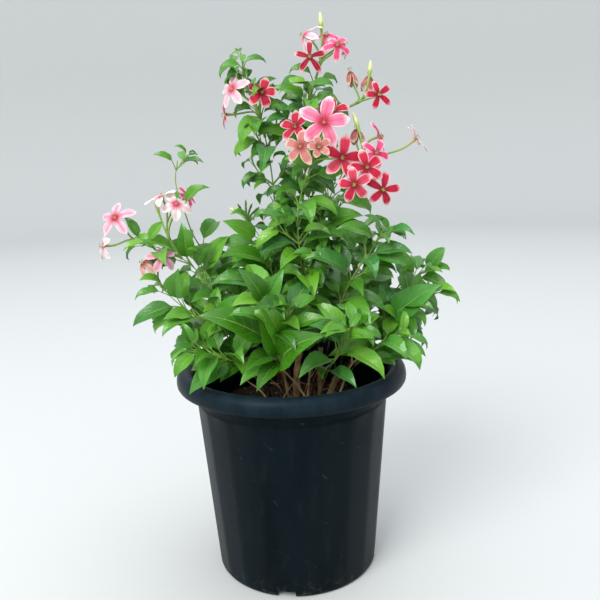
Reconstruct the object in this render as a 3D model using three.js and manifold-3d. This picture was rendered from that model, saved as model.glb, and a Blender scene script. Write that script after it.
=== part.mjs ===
// A rangoon creeper in a black nursery pot: a tapered plastic pot with a rolled rim and shallow flat
// facets, potting soil, woody stems that stand in holes in the soil, leafy shoots with opposite leaves,
// and starry five-petalled blooms on long slender tubes.
// Units are millimetres, +Z is up, the origin is the middle of the pot's flat foot, and the front is -Y.
import * as THREE from "three";
import { mergeVertices } from "three/addons/utils/BufferGeometryUtils.js";
import Module from "manifold-3d";

const wasm = await Module();
wasm.setup();

// Driving dimensions of the pot
const POT_HEIGHT = 197;
const RIM_RADIUS = 107.5;
const MOUTH_RADIUS = 93;
const MOUTH_DROP = 5;
const SHOULDER_RADIUS = 90.9;
const SHOULDER_Z = 177;
const LEDGE_Z = 165;
const FOOT_RADIUS = 77.3;
const WALL = 2.4;
const FLOOR = 3;
const FACETS = 20;
const FACET_TURN = THREE.MathUtils.degToRad(15);
const FACET_DEPTH = 1.5;
const NOTCHES = 4;
const NOTCH_TURN = THREE.MathUtils.degToRad(-9);
const NOTCH_WIDTH = 17;
const NOTCH_HEIGHT = 6;
const DRAIN_RADIUS = 5;
const DRAIN_CIRCLE = 45;

// Driving dimensions of the soil and of what grows out of it
const SOIL_LEVEL = 149;
const MOUND_HEIGHT = 5;
const MOUND_SPREAD = 35;
const CROWN = new THREE.Vector2(10, 5);
const BURIED = 24;
const GAP = 0.4;
const TAPER = 0.62;
const LAST_PAIR = 0.985;
const STALK_RADIUS = 1.1;
const BLADE_THICKNESS = 0.7;
const PETIOLE_RADIUS = 0.85;
const STALK_SLANT = 6;
const PETAL_THICKNESS = 0.7;
const LARGE_PETAL = 15.5;
const HUB_RADIUS = 2.1;
const STEM_SIDES = 5;
const TUBE_SIDES = 3;
const BUD_SIDES = 4;
const STEPS_PER_STRETCH = 2;
const FEW_STATIONS = [0.22, 0.6];
const MORE_STATIONS = [0.2, 0.5, 0.78];
const LONG_LEAF = 34;
const YOUNG_SIZES = [0.5, 0.8];
const LIGHT = new THREE.Vector3(0.05, -0.85, 1).normalize();

// Each shoot: the points that it grows through from its foot, its radius at the foot, the share of its
// length that is woody, the share where its leaves begin, its pairs of leaves, the length of a full-grown
// blade, how far a blade bends over in degrees, how steeply it rises, and how its first pair is turned.
const SHOOTS = [
  { name: "spike",
    way: [[6, 9, 200], [12, 8, 270], [16, 8, 340], [17, 6, 390], [23, 2, 426], [32, 0, 456]],
    thick: 3.3, woody: 0.24, leafy: 0.4, pairs: 7, leaf: 42, droop: 70, rise: -0.15, turn: 20 },
  { name: "arch",
    way: [[-6, 16, 210], [-8, 18, 270], [-9, 16, 325], [-12, 9, 378], [-20, 2, 424], [-33, 0, 463]],
    thick: 2.6, woody: 0.24, leafy: 0.34, pairs: 7, leaf: 34, droop: 75, rise: -0.25, turn: 60 },
  { name: "truss", way: [[17, -14, 215], [14, -20, 270], [10, -28, 325], [14, -34, 355], [22, -36, 374]],
    thick: 2.4, woody: 0.3, leafy: 0.42, pairs: 5, leaf: 42, droop: 70, rise: -0.05, turn: 10 },
  { name: "right_truss",
    way: [[26, -4, 220], [29, -4, 280], [35, -14, 334], [43, -22, 358], [58, -30, 374]],
    thick: 2.5, woody: 0.28, leafy: 0.42, pairs: 5, leaf: 42, droop: 70, rise: -0.05, turn: 50 },
  { name: "left_high",
    way: [[-34, 10, 215], [-62, 9, 280], [-83, 6, 314], [-91, 2, 340], [-97, 0, 366], [-94, 0, 386]],
    thick: 2.4, woody: 0.24, leafy: 0.36, pairs: 5, leaf: 34, droop: 50, rise: 0.1, turn: 30 },
  { name: "left_far",
    way: [[-44, -8, 215], [-62, -12, 258], [-84, -14, 292], [-110, -14, 309], [-132, -14, 316]],
    thick: 2.2, woody: 0.26, leafy: 0.38, pairs: 5, leaf: 42, droop: 50, rise: 0.1, turn: 0 },
  { name: "left_mid",
    way: [[-40, -28, 205], [-62, -34, 240], [-82, -36, 253], [-99, -34, 266], [-111, -32, 280]],
    thick: 2.1, woody: 0.3, leafy: 0.4, pairs: 4, leaf: 46, droop: 55, rise: 0.15, turn: 45 },
  { name: "left_low", way: [[-38, -38, 202], [-62, -56, 220], [-84, -62, 230]],
    thick: 2, woody: 0.5, leafy: 0.62, pairs: 3, leaf: 42, droop: 60, rise: 0.25, turn: 20 },
  { name: "front_left", way: [[-12, -46, 210], [-18, -70, 250], [-20, -84, 274]],
    thick: 2, woody: 0.36, leafy: 0.5, pairs: 3, leaf: 50, droop: 45, rise: 0.3, turn: 70 },
  { name: "front", way: [[-8, -42, 192], [-9, -64, 222], [-5, -78, 246], [-1, -85, 265]],
    thick: 2.1, woody: 0.36, leafy: 0.56, pairs: 3, leaf: 48, droop: 45, rise: 0.3, turn: 10 },
  { name: "front_right", way: [[28, -40, 188], [37, -62, 216], [44, -74, 232], [55, -82, 248]],
    thick: 2, woody: 0.34, leafy: 0.62, pairs: 4, leaf: 42, droop: 50, rise: 0.3, turn: 40 },
  { name: "right_low", way: [[48, -20, 182], [62, -38, 208], [83, -46, 225], [98, -50, 232]],
    thick: 2.1, woody: 0.5, leafy: 0.62, pairs: 3, leaf: 42, droop: 60, rise: 0.35, turn: 10 },
  { name: "right_mid", way: [[60, -8, 205], [89, -16, 237], [114, -18, 253], [134, -18, 263]],
    thick: 2.2, woody: 0.32, leafy: 0.46, pairs: 4, leaf: 46, droop: 60, rise: 0.15, turn: 30 },
  { name: "right_high", way: [[56, 10, 215], [88, 8, 252], [110, 4, 266], [126, 2, 279]],
    thick: 2.1, woody: 0.32, leafy: 0.44, pairs: 5, leaf: 44, droop: 60, rise: 0.1, turn: 60 },
  { name: "right_inner", way: [[38, -20, 230], [53, -32, 275], [69, -38, 300], [83, -40, 322]],
    thick: 2, woody: 0.34, leafy: 0.44, pairs: 5, leaf: 46, droop: 60, rise: 0.1, turn: 25 },
  { name: "back_right", way: [[48, 48, 215], [66, 76, 260], [76, 92, 290]],
    thick: 2.2, woody: 0.34, leafy: 0.48, pairs: 5, leaf: 48, droop: 55, rise: 0.15, turn: 15 },
  { name: "back", way: [[4, 56, 218], [2, 84, 268], [-4, 98, 302]],
    thick: 2.2, woody: 0.34, leafy: 0.48, pairs: 5, leaf: 48, droop: 55, rise: 0.15, turn: 55 },
  { name: "back_left", way: [[-36, 50, 215], [-56, 76, 258], [-66, 90, 285]],
    thick: 2.2, woody: 0.34, leafy: 0.48, pairs: 5, leaf: 48, droop: 55, rise: 0.15, turn: 35 },
  { name: "middle", way: [[-9, -4, 215], [-12, -12, 270], [-20, -12, 308], [-32, -10, 330]],
    thick: 2, woody: 0.34, leafy: 0.42, pairs: 6, leaf: 46, droop: 40, rise: 0.1, turn: 0 },
];

// The feet on the soil, and the shoots that fork from each.
const FEET = [
  { at: [2, 10], shoots: ["spike", "arch", "middle"] },
  { at: [22, -6], shoots: ["truss", "right_truss", "right_inner"] },
  { at: [-20, 8], shoots: ["left_high", "left_far"] },
  { at: [-18, -14], shoots: ["left_mid", "left_low"] },
  { at: [-3, -22], shoots: ["front_left", "front"] },
  { at: [24, -26], shoots: ["front_right", "right_low"] },
  { at: [40, 8], shoots: ["right_mid", "right_high", "back_right"] },
  { at: [4, 34], shoots: ["back", "back_left"] },
];

// Single leaves that show best: the shoot and the share of its length where each grows, the place of its
// tip, how far it bends in degrees, and the way that its upper side looks.
const LEAVES = [
  { shoot: "left_mid", share: 0.86, tip: [-136, -46, 247], bend: 40, looks: [0, -1, 1] },
  { shoot: "left_mid", share: 0.96, tip: [-134, -40, 270], bend: 35, looks: [-0.2, -0.6, 1] },
  { shoot: "left_mid", share: 0.87, tip: [-91, -52, 298], bend: 30, looks: [-0.2, -1, 0.3] },
  { shoot: "left_mid", share: 0.72, tip: [-109, -60, 240], bend: 55, looks: [-0.3, -0.7, 1] },
  { shoot: "left_low", share: 0.66, tip: [-86, -84, 198], bend: 40, looks: [0, -1, 0.9] },
  { shoot: "left_low", share: 0.97, tip: [-98, -72, 216], bend: 70, looks: [-0.6, -0.2, 1] },
  { shoot: "left_far", share: 0.77, tip: [-90, -26, 334], bend: 30, looks: [0.2, -1, 0.4] },
  { shoot: "front_left", share: 0.98, tip: [-39, -102, 304], bend: 50, looks: [0, -1, 0.7] },
  { shoot: "front_left", share: 0.96, tip: [-3, -102, 300], bend: 30, looks: [0, -1, 0.4] },
  { shoot: "front_left", share: 0.62, tip: [-75, -78, 262], bend: 40, looks: [0, -0.8, 1] },
  { shoot: "front_left", share: 0.42, tip: [-44, -80, 202], bend: 45, looks: [0, -0.6, 1] },
  { shoot: "front", share: 0.56, tip: [-26, -90, 263], bend: 30, looks: [0.4, -1, 0.3] },
  { shoot: "front", share: 0.55, tip: [24, -92, 252], bend: 40, looks: [-0.4, -1, 0.5] },
  { shoot: "front", share: 0.76, tip: [-23, -96, 276], bend: 25, looks: [0.4, -1, 0.3] },
  { shoot: "front_right", share: 0.7, tip: [15, -100, 258], bend: 55, looks: [0, -0.9, 1] },
  { shoot: "front_right", share: 0.5, tip: [53, -86, 199], bend: 30, looks: [0.3, -1, 0.6] },
  { shoot: "front_right", share: 0.48, tip: [25, -84, 205], bend: 50, looks: [-0.3, -1, 0.5] },
  { shoot: "right_low", share: 0.86, tip: [117, -54, 212], bend: 45, looks: [0.2, -0.8, 1] },
  { shoot: "right_mid", share: 0.64, tip: [132, -38, 274], bend: 20, looks: [-0.2, -1, 0.7] },
  { shoot: "right_mid", share: 0.97, tip: [151, -24, 249], bend: 75, looks: [0.3, -0.3, 1] },
  { shoot: "right_mid", share: 0.78, tip: [120, -40, 233], bend: 70, looks: [0.3, -0.7, 1] },
  { shoot: "right_high", share: 0.96, tip: [143, -6, 277], bend: 50, looks: [0, -0.6, 1] },
  { shoot: "right_inner", share: 0.86, tip: [106, -54, 303], bend: 45, looks: [0, -0.8, 1] },
  { shoot: "right_inner", share: 0.97, tip: [101, -44, 315], bend: 80, looks: [0.2, -0.5, 1] },
  { shoot: "right_inner", share: 0.94, tip: [40, -50, 325], bend: 50, looks: [0, -0.8, 1] },
  { shoot: "right_truss", share: 0.74, tip: [68, -34, 335], bend: 60, looks: [0.3, -1, 0.5] },
  { shoot: "middle", share: 0.9, tip: [-55, -26, 334], bend: 30, looks: [0.1, -1, 0.4] },
  { shoot: "arch", share: 0.87, tip: [-37, -14, 395], bend: 50, looks: [-0.3, -1, 0.4] },
  { shoot: "arch", share: 0.79, tip: [-28, -10, 384], bend: 50, looks: [-0.3, -1, 0.4] },
  { shoot: "arch", share: 0.74, tip: [-18, -12, 376], bend: 45, looks: [-0.2, -1, 0.4] },
  { shoot: "arch", share: 0.66, tip: [-28, -4, 356], bend: 60, looks: [-0.4, -0.6, 0.8] },
  { shoot: "arch", share: 0.93, tip: [-3, -12, 452], bend: 40, looks: [0, -1, 0.6] },
  { shoot: "spike", share: 0.93, tip: [51, -12, 428], bend: 60, looks: [0.4, -1, 0.4] },
  { shoot: "spike", share: 0.9, tip: [20, -28, 424], bend: 45, looks: [0, -1, 0.5] },
  { shoot: "spike", share: 0.88, tip: [1, -18, 424], bend: 50, looks: [-0.3, -1, 0.5] },
  { shoot: "spike", share: 0.92, tip: [-10, -4, 443], bend: 40, looks: [0, -0.8, 0.8] },
];

// Each cluster of blooms: the shoot that bears it and the share of its length there, the point where its
// tubes part, its blooms and its buds. A bloom has the place of its mouth, the way that it faces, the length
// and width of a petal, the angle between a petal and the way that the bloom faces, and its colour. A bud
// has the place of its tip and its radius.
const CLUSTERS = [
  { shoot: "spike", share: 0.985, neck: [34, -1, 462],
    blooms: [
      { at: [21, -2, 487], face: [-0.8, -0.25, 0.5], petal: 16, wide: 6, open: 118, tone: "pale" },
      { at: [25, -18, 467], face: [-0.05, -1, 0.12], petal: 15, wide: 5.4, open: 84, tone: "crimson" },
      { at: [41, -4, 488], face: [-0.1, -0.55, 0.85], petal: 13, wide: 6, open: 96, tone: "pink" },
      { at: [49, -10, 477], face: [0.15, -0.85, 0.45], petal: 13, wide: 6, open: 96, tone: "pink" },
      { at: [57, 4, 482], face: [0.8, -0.2, 0.5], petal: 13, wide: 6, open: 112, tone: "faded" },
    ],
    buds: [{ tip: [36, 6, 507], fat: 2.3 }] },
  { shoot: "spike", share: 0.84, neck: [66, 0, 430],
    blooms: [
      { at: [61, 6, 457], face: [-0.15, 0.1, 1], petal: 14, wide: 5, open: 140, tone: "faded" },
      { at: [79, 10, 454], face: [0.1, 0.1, 1], petal: 15, wide: 7, open: 136, tone: "faded" },
      { at: [83, -16, 435], face: [0.25, -0.96, 0.1], petal: 13, wide: 6, open: 84, tone: "crimson" },
    ],
    buds: [{ tip: [80, 12, 467], fat: 2.3 }] },
  { shoot: "truss", share: 0.985, neck: [22, -36, 377],
    blooms: [
      { at: [33, -62, 411], face: [-0.05, -0.97, 0.22], petal: 20, wide: 11, open: 78, tone: "pink" },
      { at: [11, -28, 410], face: [-0.4, -0.75, 0.5], petal: 15, wide: 8, open: 62, tone: "crimson" },
      { at: [44, -22, 423], face: [0.2, -0.8, 0.6], petal: 15, wide: 8, open: 75, tone: "crimson" },
      { at: [14, -54, 393], face: [-0.35, -0.85, 0.35], petal: 15, wide: 8, open: 75, tone: "faded" },
      { at: [28, -70, 392], face: [0.1, -0.9, 0.2], petal: 9, wide: 6, open: 60, tone: "faded" },
      { at: [47, -60, 383], face: [0.1, -0.97, 0.1], petal: 18, wide: 9.5, open: 76, tone: "crimson" },
    ],
    buds: [{ tip: [10, -46, 393], fat: 3 }] },
  { shoot: "right_truss", share: 0.985, neck: [62, -30, 377],
    blooms: [
      { at: [64, -14, 407], face: [0.1, 0.2, 1], petal: 14, wide: 7, open: 138, tone: "faded" },
      { at: [81, -32, 400], face: [0.9, -0.35, 0.3], petal: 15, wide: 6, open: 82, tone: "pink" },
      { at: [76, -46, 386], face: [0.35, -0.9, 0.35], petal: 13, wide: 6.5, open: 80, tone: "pink" },
      { at: [66, -58, 375], face: [0, -0.97, 0.2], petal: 14, wide: 8, open: 78, tone: "crimson" },
      { at: [55, -70, 362], face: [-0.2, -0.95, 0.1], petal: 14, wide: 8, open: 78, tone: "crimson" },
      { at: [79, -64, 357], face: [0.1, -0.98, 0.05], petal: 15, wide: 7, open: 82, tone: "crimson" },
      { at: [113, -24, 397], face: [0.75, -0.1, 0.6], petal: 15, wide: 5, open: 62, tone: "pale" },
    ],
    buds: [{ tip: [61, -8, 422], fat: 2.2 }] },
  { shoot: "arch", share: 0.8, neck: [-19, -3, 421],
    blooms: [
      { at: [-42, -6, 444], face: [-0.6, -0.6, 0.3], petal: 16, wide: 8.5, open: 82, tone: "pale" },
      { at: [-16, -14, 440], face: [0.05, -0.95, 0.25], petal: 13, wide: 8.5, open: 78, tone: "crimson" },
      { at: [-50, -2, 424], face: [-0.97, -0.2, 0], petal: 13, wide: 5.5, open: 78, tone: "crimson" },
    ],
    buds: [{ tip: [-40, 4, 460], fat: 2.2 }] },
  { shoot: "left_far", share: 0.8, neck: [-104, -11, 317],
    blooms: [
      { at: [-109, -6, 355], face: [-0.35, -0.2, 0.9], petal: 15, wide: 7, open: 78, tone: "pale" },
      { at: [-95, -18, 349], face: [0.15, -0.8, 0.5], petal: 14, wide: 8, open: 104, tone: "pale" },
      { at: [-90, -2, 354], face: [0.75, -0.3, 0.6], petal: 12, wide: 6, open: 70, tone: "pink" },
    ],
    buds: [{ tip: [-116, -4, 353], fat: 2 }] },
  { shoot: "left_far", share: 0.985, neck: [-134, -14, 318],
    blooms: [
      { at: [-148, -22, 339], face: [-0.25, -0.85, 0.5], petal: 17, wide: 8, open: 96, tone: "pink" },
      { at: [-161, -20, 315], face: [-0.92, -0.35, 0.1], petal: 15, wide: 7, open: 84, tone: "pale" },
    ],
    buds: [] },
  { shoot: "left_mid", share: 0.985, neck: [-112, -33, 283],
    blooms: [
      { at: [-124, -38, 301], face: [-0.4, -0.6, 0.7], petal: 13, wide: 6, open: 125, tone: "faded" },
      { at: [-107, -38, 306], face: [0.3, -0.7, 0.6], petal: 14, wide: 7, open: 100, tone: "pink" },
    ],
    buds: [] },
  { shoot: "middle", share: 0.97, neck: [-33, -10, 331],
    blooms: [],
    buds: [
      { tip: [-50, -6, 343], fat: 1.9 },
      { tip: [-42, -14, 347], fat: 1.2 },
      { tip: [-35, -6, 350], fat: 1.2 },
      { tip: [-29, -14, 347], fat: 1.2 },
      { tip: [-23, -6, 343], fat: 1.2 },
    ] },
];

const MATERIALS = {
  plastic: new THREE.MeshStandardMaterial({ color: 0x1d262b, roughness: 0.45, metalness: 0 }),
  soil: new THREE.MeshStandardMaterial({ color: 0x1c1512, roughness: 1, metalness: 0 }),
  bark: new THREE.MeshStandardMaterial({ color: 0x9a6b43, roughness: 0.85, metalness: 0 }),
  leaf: new THREE.MeshStandardMaterial({ color: 0x3f8f24, roughness: 0.5, metalness: 0 }),
  pink: new THREE.MeshStandardMaterial({ color: 0xe06a96, roughness: 0.6, metalness: 0 }),
  crimson: new THREE.MeshStandardMaterial({ color: 0xc22f4a, roughness: 0.6, metalness: 0 }),
  pale: new THREE.MeshStandardMaterial({ color: 0xedc4cf, roughness: 0.6, metalness: 0 }),
  faded: new THREE.MeshStandardMaterial({ color: 0xcfae8c, roughness: 0.7, metalness: 0 }),
};

// A repeatable draw between 0 and 1 from two whole numbers.
function draw(a, b) {
  const s = Math.sin(a * 12.9898 + b * 78.233) * 43758.5453;
  return s - Math.floor(s);
}

// Solids and geometries

function solidOf(geometry) {
  const bare = geometry.clone();
  bare.deleteAttribute("normal");
  bare.deleteAttribute("uv");
  const merged = mergeVertices(bare, 1e-4);
  const mesh = new wasm.Mesh({
    numProp: 3,
    vertProperties: merged.attributes.position.array,
    triVerts: new Uint32Array(merged.index.array),
  });
  return new wasm.Manifold(mesh);
}

function solidFrom(points, triangles) {
  const mesh = new wasm.Mesh({
    numProp: 3,
    vertProperties: new Float32Array(points.flatMap((p) => [p.x, p.y, p.z])),
    triVerts: new Uint32Array(triangles.flat()),
  });
  return new wasm.Manifold(mesh);
}

function geometryOf(solid) {
  const { vertProperties, triVerts, numProp } = solid.getMesh();
  const geometry = new THREE.BufferGeometry();
  const places = new Float32Array((vertProperties.length / numProp) * 3);
  for (let i = 0; i < places.length / 3; i++) {
    places.set(vertProperties.subarray(i * numProp, i * numProp + 3), i * 3);
  }
  geometry.setAttribute("position", new THREE.BufferAttribute(places, 3));
  geometry.setIndex(new THREE.BufferAttribute(new Uint32Array(triVerts), 1));
  geometry.computeVertexNormals();
  return geometry;
}

// The pot

// The pot's outer wall is cut into flats between its ledge and its foot, which leave the wall's full radius
// only at the corners between two flats.
function flattenFacets(geometry, inFlats) {
  const at = geometry.attributes.position;
  const half = Math.PI / FACETS;
  for (let i = 0; i < at.count; i++) {
    const p = new THREE.Vector3().fromBufferAttribute(at, i);
    const radius = Math.hypot(p.x, p.y);
    if (!inFlats(radius, p.z)) continue;
    const angle = Math.atan2(p.x, -p.y) - FACET_TURN;
    const fromCorner = Math.abs(angle - 2 * half * Math.round(angle / (2 * half)));
    const shrink = 1 - (FACET_DEPTH / radius) * (fromCorner / half);
    at.setXY(i, p.x * shrink, p.y * shrink);
  }
}

function potSolid() {
  const outer = [
    [0, 0], [FOOT_RADIUS - 3, 0], [FOOT_RADIUS, 5], [SHOULDER_RADIUS - 1, LEDGE_Z],
    [SHOULDER_RADIUS - 1.6, SHOULDER_Z], [RIM_RADIUS - 7, POT_HEIGHT - 10],
    [RIM_RADIUS - 2.4, POT_HEIGHT - 15], [RIM_RADIUS, POT_HEIGHT - 12], [RIM_RADIUS - 6.5, POT_HEIGHT],
    [MOUTH_RADIUS - 2, POT_HEIGHT - MOUTH_DROP], [FOOT_RADIUS - WALL - 1, FLOOR], [0, FLOOR],
  ];
  const profile = outer.map(([r, z]) => new THREE.Vector2(r, z));
  const lathe = new THREE.LatheGeometry(profile, 2 * FACETS, FACET_TURN);
  lathe.rotateX(Math.PI / 2);
  const isOuterWall = (radius, z) => z > 4 && z < LEDGE_Z + 0.5 && radius > FOOT_RADIUS - 1;
  flattenFacets(lathe, isOuterWall);
  let pot = solidOf(lathe);
  for (let i = 0; i < NOTCHES; i++) {
    const turn = NOTCH_TURN + (i * 2 * Math.PI) / NOTCHES;
    const notch = new THREE.BoxGeometry(NOTCH_WIDTH, 22, 2 * NOTCH_HEIGHT);
    notch.translate(0, -FOOT_RADIUS, 0).rotateZ(turn);
    const drain = new THREE.CylinderGeometry(DRAIN_RADIUS, DRAIN_RADIUS, 4 * FLOOR, 8);
    drain.rotateX(Math.PI / 2).translate(0, -DRAIN_CIRCLE, 0).rotateZ(turn + Math.PI / NOTCHES);
    pot = pot.subtract(solidOf(notch)).subtract(solidOf(drain));
  }
  return pot;
}

// The soil

function soilHeight(x, y) {
  const away = Math.hypot(x - CROWN.x, y - CROWN.y);
  const mound = MOUND_HEIGHT * Math.exp(-(away * away) / (2 * MOUND_SPREAD * MOUND_SPREAD));
  const bumps = 0.6 * Math.sin(x * 0.19 + 1.3) * Math.cos(y * 0.17) + 0.5 * Math.sin((x + y) * 0.11);
  return SOIL_LEVEL + mound + bumps;
}

function soilSolid() {
  const foot = FOOT_RADIUS - WALL - 1;
  const rise = (SOIL_LEVEL - FLOOR) / (POT_HEIGHT - MOUTH_DROP - FLOOR);
  const edge = foot + rise * (MOUTH_RADIUS - 2 - foot) - 1;
  const rings = [0, 0.3, 0.62, 0.85, 1].map((share) => new THREE.Vector2(edge * share, SOIL_LEVEL));
  const profile = [
    new THREE.Vector2(0, FLOOR + GAP), new THREE.Vector2(foot - 1, FLOOR + GAP), ...rings.reverse(),
  ];
  const lathe = new THREE.LatheGeometry(profile, FACETS);
  lathe.rotateX(Math.PI / 2);
  const at = lathe.attributes.position;
  for (let i = 0; i < at.count; i++) {
    if (at.getZ(i) > SOIL_LEVEL - 1) at.setZ(i, soilHeight(at.getX(i), at.getY(i)));
  }
  return solidOf(lathe);
}

// Stems

// The points of a line that a stem follows, with a frame at each: its tangent and two sides of its section.
function wayOf(corners) {
  const curve = new THREE.CatmullRomCurve3(corners, false, "catmullrom", 0.5);
  return framed(curve.getPoints(STEPS_PER_STRETCH * (corners.length - 1)));
}

function framed(points) {
  const stations = [];
  let run = 0;
  let side = null;
  points.forEach((point, i) => {
    const before = points[Math.max(i - 1, 0)];
    const after = points[Math.min(i + 1, points.length - 1)];
    const tangent = after.clone().sub(before).normalize();
    if (!side) side = Math.abs(tangent.x) < 0.9 ? new THREE.Vector3(1, 0, 0) : new THREE.Vector3(0, 1, 0);
    side = side.clone().addScaledVector(tangent, -side.dot(tangent)).normalize();
    if (i) run += point.distanceTo(points[i - 1]);
    stations.push({ point: point.clone(), tangent, side, other: tangent.clone().cross(side), run });
  });
  return stations;
}

// The place on a way at a share of its length, between its points.
function along(stations, share) {
  const run = share * stations[stations.length - 1].run;
  let i = 1;
  while (i < stations.length - 1 && stations[i].run < run) i++;
  const [a, b] = [stations[i - 1], stations[i]];
  const t = (run - a.run) / (b.run - a.run);
  const tangent = a.tangent.clone().lerp(b.tangent, t).normalize();
  const side = a.side.clone().lerp(b.side, t);
  side.addScaledVector(tangent, -side.dot(tangent)).normalize();
  const point = a.point.clone().lerp(b.point, t);
  return { point, tangent, side, other: tangent.clone().cross(side), run };
}

// A closed round stem along stations, with a radius at each. A pointed one ends in its last point.
function stemSolid(stations, radii, sides, pointed) {
  const points = [];
  const triangles = [];
  const rings = pointed ? stations.length - 1 : stations.length;
  for (let i = 0; i < rings; i++) {
    for (let k = 0; k < sides; k++) {
      const angle = (2 * Math.PI * k) / sides;
      const { point, side, other } = stations[i];
      const p = point.clone().addScaledVector(side, radii[i] * Math.cos(angle));
      points.push(p.addScaledVector(other, radii[i] * Math.sin(angle)));
    }
  }
  const ring = (i, k) => i * sides + (k % sides);
  for (let i = 0; i + 1 < rings; i++) {
    for (let k = 0; k < sides; k++) {
      triangles.push([ring(i, k), ring(i, k + 1), ring(i + 1, k)]);
      triangles.push([ring(i, k + 1), ring(i + 1, k + 1), ring(i + 1, k)]);
    }
  }
  for (let k = 1; k + 1 < sides; k++) triangles.push([ring(0, 0), ring(0, k + 1), ring(0, k)]);
  if (pointed) {
    const tip = points.push(stations[stations.length - 1].point.clone()) - 1;
    for (let k = 0; k < sides; k++) triangles.push([ring(rings - 1, k), ring(rings - 1, k + 1), tip]);
  } else {
    const end = (k) => ring(rings - 1, k);
    for (let k = 1; k + 1 < sides; k++) triangles.push([end(0), end(k), end(k + 1)]);
  }
  return solidFrom(points, triangles);
}

// Leaves

// The half width of a blade at a share of its length: round at the foot and drawn out at the tip.
function bladeShape(t) {
  return Math.pow(t / 0.343, 0.6) * Math.pow((1 - t) / 0.657, 1.15);
}

// The point and the upward normal of a blade's midrib at a share of its length. It bends down evenly.
function midrib(leaf, t) {
  const bend = Math.max(leaf.droop, 1e-4);
  const foot = leaf.base.clone().addScaledVector(leaf.dir, leaf.petiole);
  const reach = (leaf.length / bend) * Math.sin(bend * t);
  const fall = (leaf.length / bend) * (1 - Math.cos(bend * t));
  const point = foot.addScaledVector(leaf.dir, reach).addScaledVector(leaf.up, -fall);
  const normal = leaf.up.clone().multiplyScalar(Math.cos(bend * t));
  normal.addScaledVector(leaf.dir, Math.sin(bend * t));
  return { point, normal };
}

// A leaf: a three-sided stalk that leaves its stem at a slant and opens into a folded blade of even
// thickness. extra makes it fatter, and bladeOnly leaves its stalk out, for testing whether it stands clear.
function leafSolid(leaf, extra, bladeOnly) {
  const side = leaf.dir.clone().cross(leaf.up);
  const thin = BLADE_THICKNESS / 2 + extra;
  const points = [];
  const triangles = [];
  if (!bladeOnly) {
    const end = leaf.base.clone().addScaledVector(leaf.dir, leaf.petiole);
    const r = PETIOLE_RADIUS + extra;
    points.push(leaf.root.clone());
    points.push(end.clone().addScaledVector(side, -r).addScaledVector(leaf.up, r * 0.7));
    points.push(end.clone().addScaledVector(side, r).addScaledVector(leaf.up, r * 0.7));
    points.push(end.clone().addScaledVector(leaf.up, -r));
  }
  const first = points.length;
  for (const [n, t] of leaf.stations.entries()) {
    const { point, normal } = midrib(leaf, t);
    const wide = 0.5 * leaf.width * bladeShape(t) + extra;
    const wave = (n % 2 ? 1 : -1) * leaf.wave;
    const lift = wide * Math.sin(leaf.fold);
    for (const sign of [1, -1]) {
      const left = point.clone().addScaledVector(side, -wide * Math.cos(leaf.fold));
      const right = point.clone().addScaledVector(side, wide * Math.cos(leaf.fold));
      const across = [
        left.addScaledVector(normal, lift + wave + sign * thin),
        point.clone().addScaledVector(normal, sign * thin),
        right.addScaledVector(normal, lift - wave + sign * thin),
      ];
      points.push(...(sign > 0 ? across : across.reverse()));
    }
  }
  const ring = (n, k) => first + n * 6 + (k % 6);
  const last = leaf.stations.length - 1;
  const tip = points.push(midrib(leaf, 1 + (3 * extra) / leaf.length).point) - 1;
  for (let n = 0; n < last; n++) {
    for (const [a, b] of [[0, 1], [1, 2], [2, 3], [5, 0]]) {
      triangles.push([ring(n, a), ring(n, b), ring(n + 1, b)], [ring(n, a), ring(n + 1, b), ring(n + 1, a)]);
    }
    for (const [a, b] of [[3, 4], [4, 5]]) {
      triangles.push([ring(n, a), ring(n, b), ring(n + 1, a)], [ring(n, b), ring(n + 1, b), ring(n + 1, a)]);
    }
  }
  for (let k = 0; k < 6; k++) triangles.push([ring(last, k), ring(last, k + 1), tip]);
  if (bladeOnly) {
    for (const [a, b, c] of [[0, 5, 4], [0, 4, 1], [1, 4, 3], [1, 3, 2]]) {
      triangles.push([ring(0, a), ring(0, b), ring(0, c)]);
    }
  } else {
    const [root, l, r, u] = [0, 1, 2, 3];
    triangles.push([root, r, l], [root, u, r], [root, l, u]);
    triangles.push([l, ring(0, 1), ring(0, 0)], [l, r, ring(0, 1)], [r, ring(0, 2), ring(0, 1)]);
    triangles.push([r, ring(0, 3), ring(0, 2)], [r, u, ring(0, 4)], [r, ring(0, 4), ring(0, 3)]);
    triangles.push([u, l, ring(0, 4)], [l, ring(0, 5), ring(0, 4)], [l, ring(0, 0), ring(0, 5)]);
  }
  return solidFrom(points, triangles);
}

// The turns that a leaf may take to stand clear of its neighbours, the best first: how far it turns round
// its stem, how much it lifts and how much smaller it stays.
const LEAF_TURNS = 36;
const ROUND_LIFTS = [0, 0.35, -0.3, 0.1];
const ROUND_SIZES = [1, 0.88, 0.82, 0.68];

function leafTurn(k) {
  const round = Math.floor(k / 9);
  const step = k % 9;
  const turn = Math.ceil(step / 2) * 17 * (step % 2 ? 1 : -1);
  return { turn: THREE.MathUtils.degToRad(turn), lift: ROUND_LIFTS[round], smaller: ROUND_SIZES[round] };
}

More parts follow.
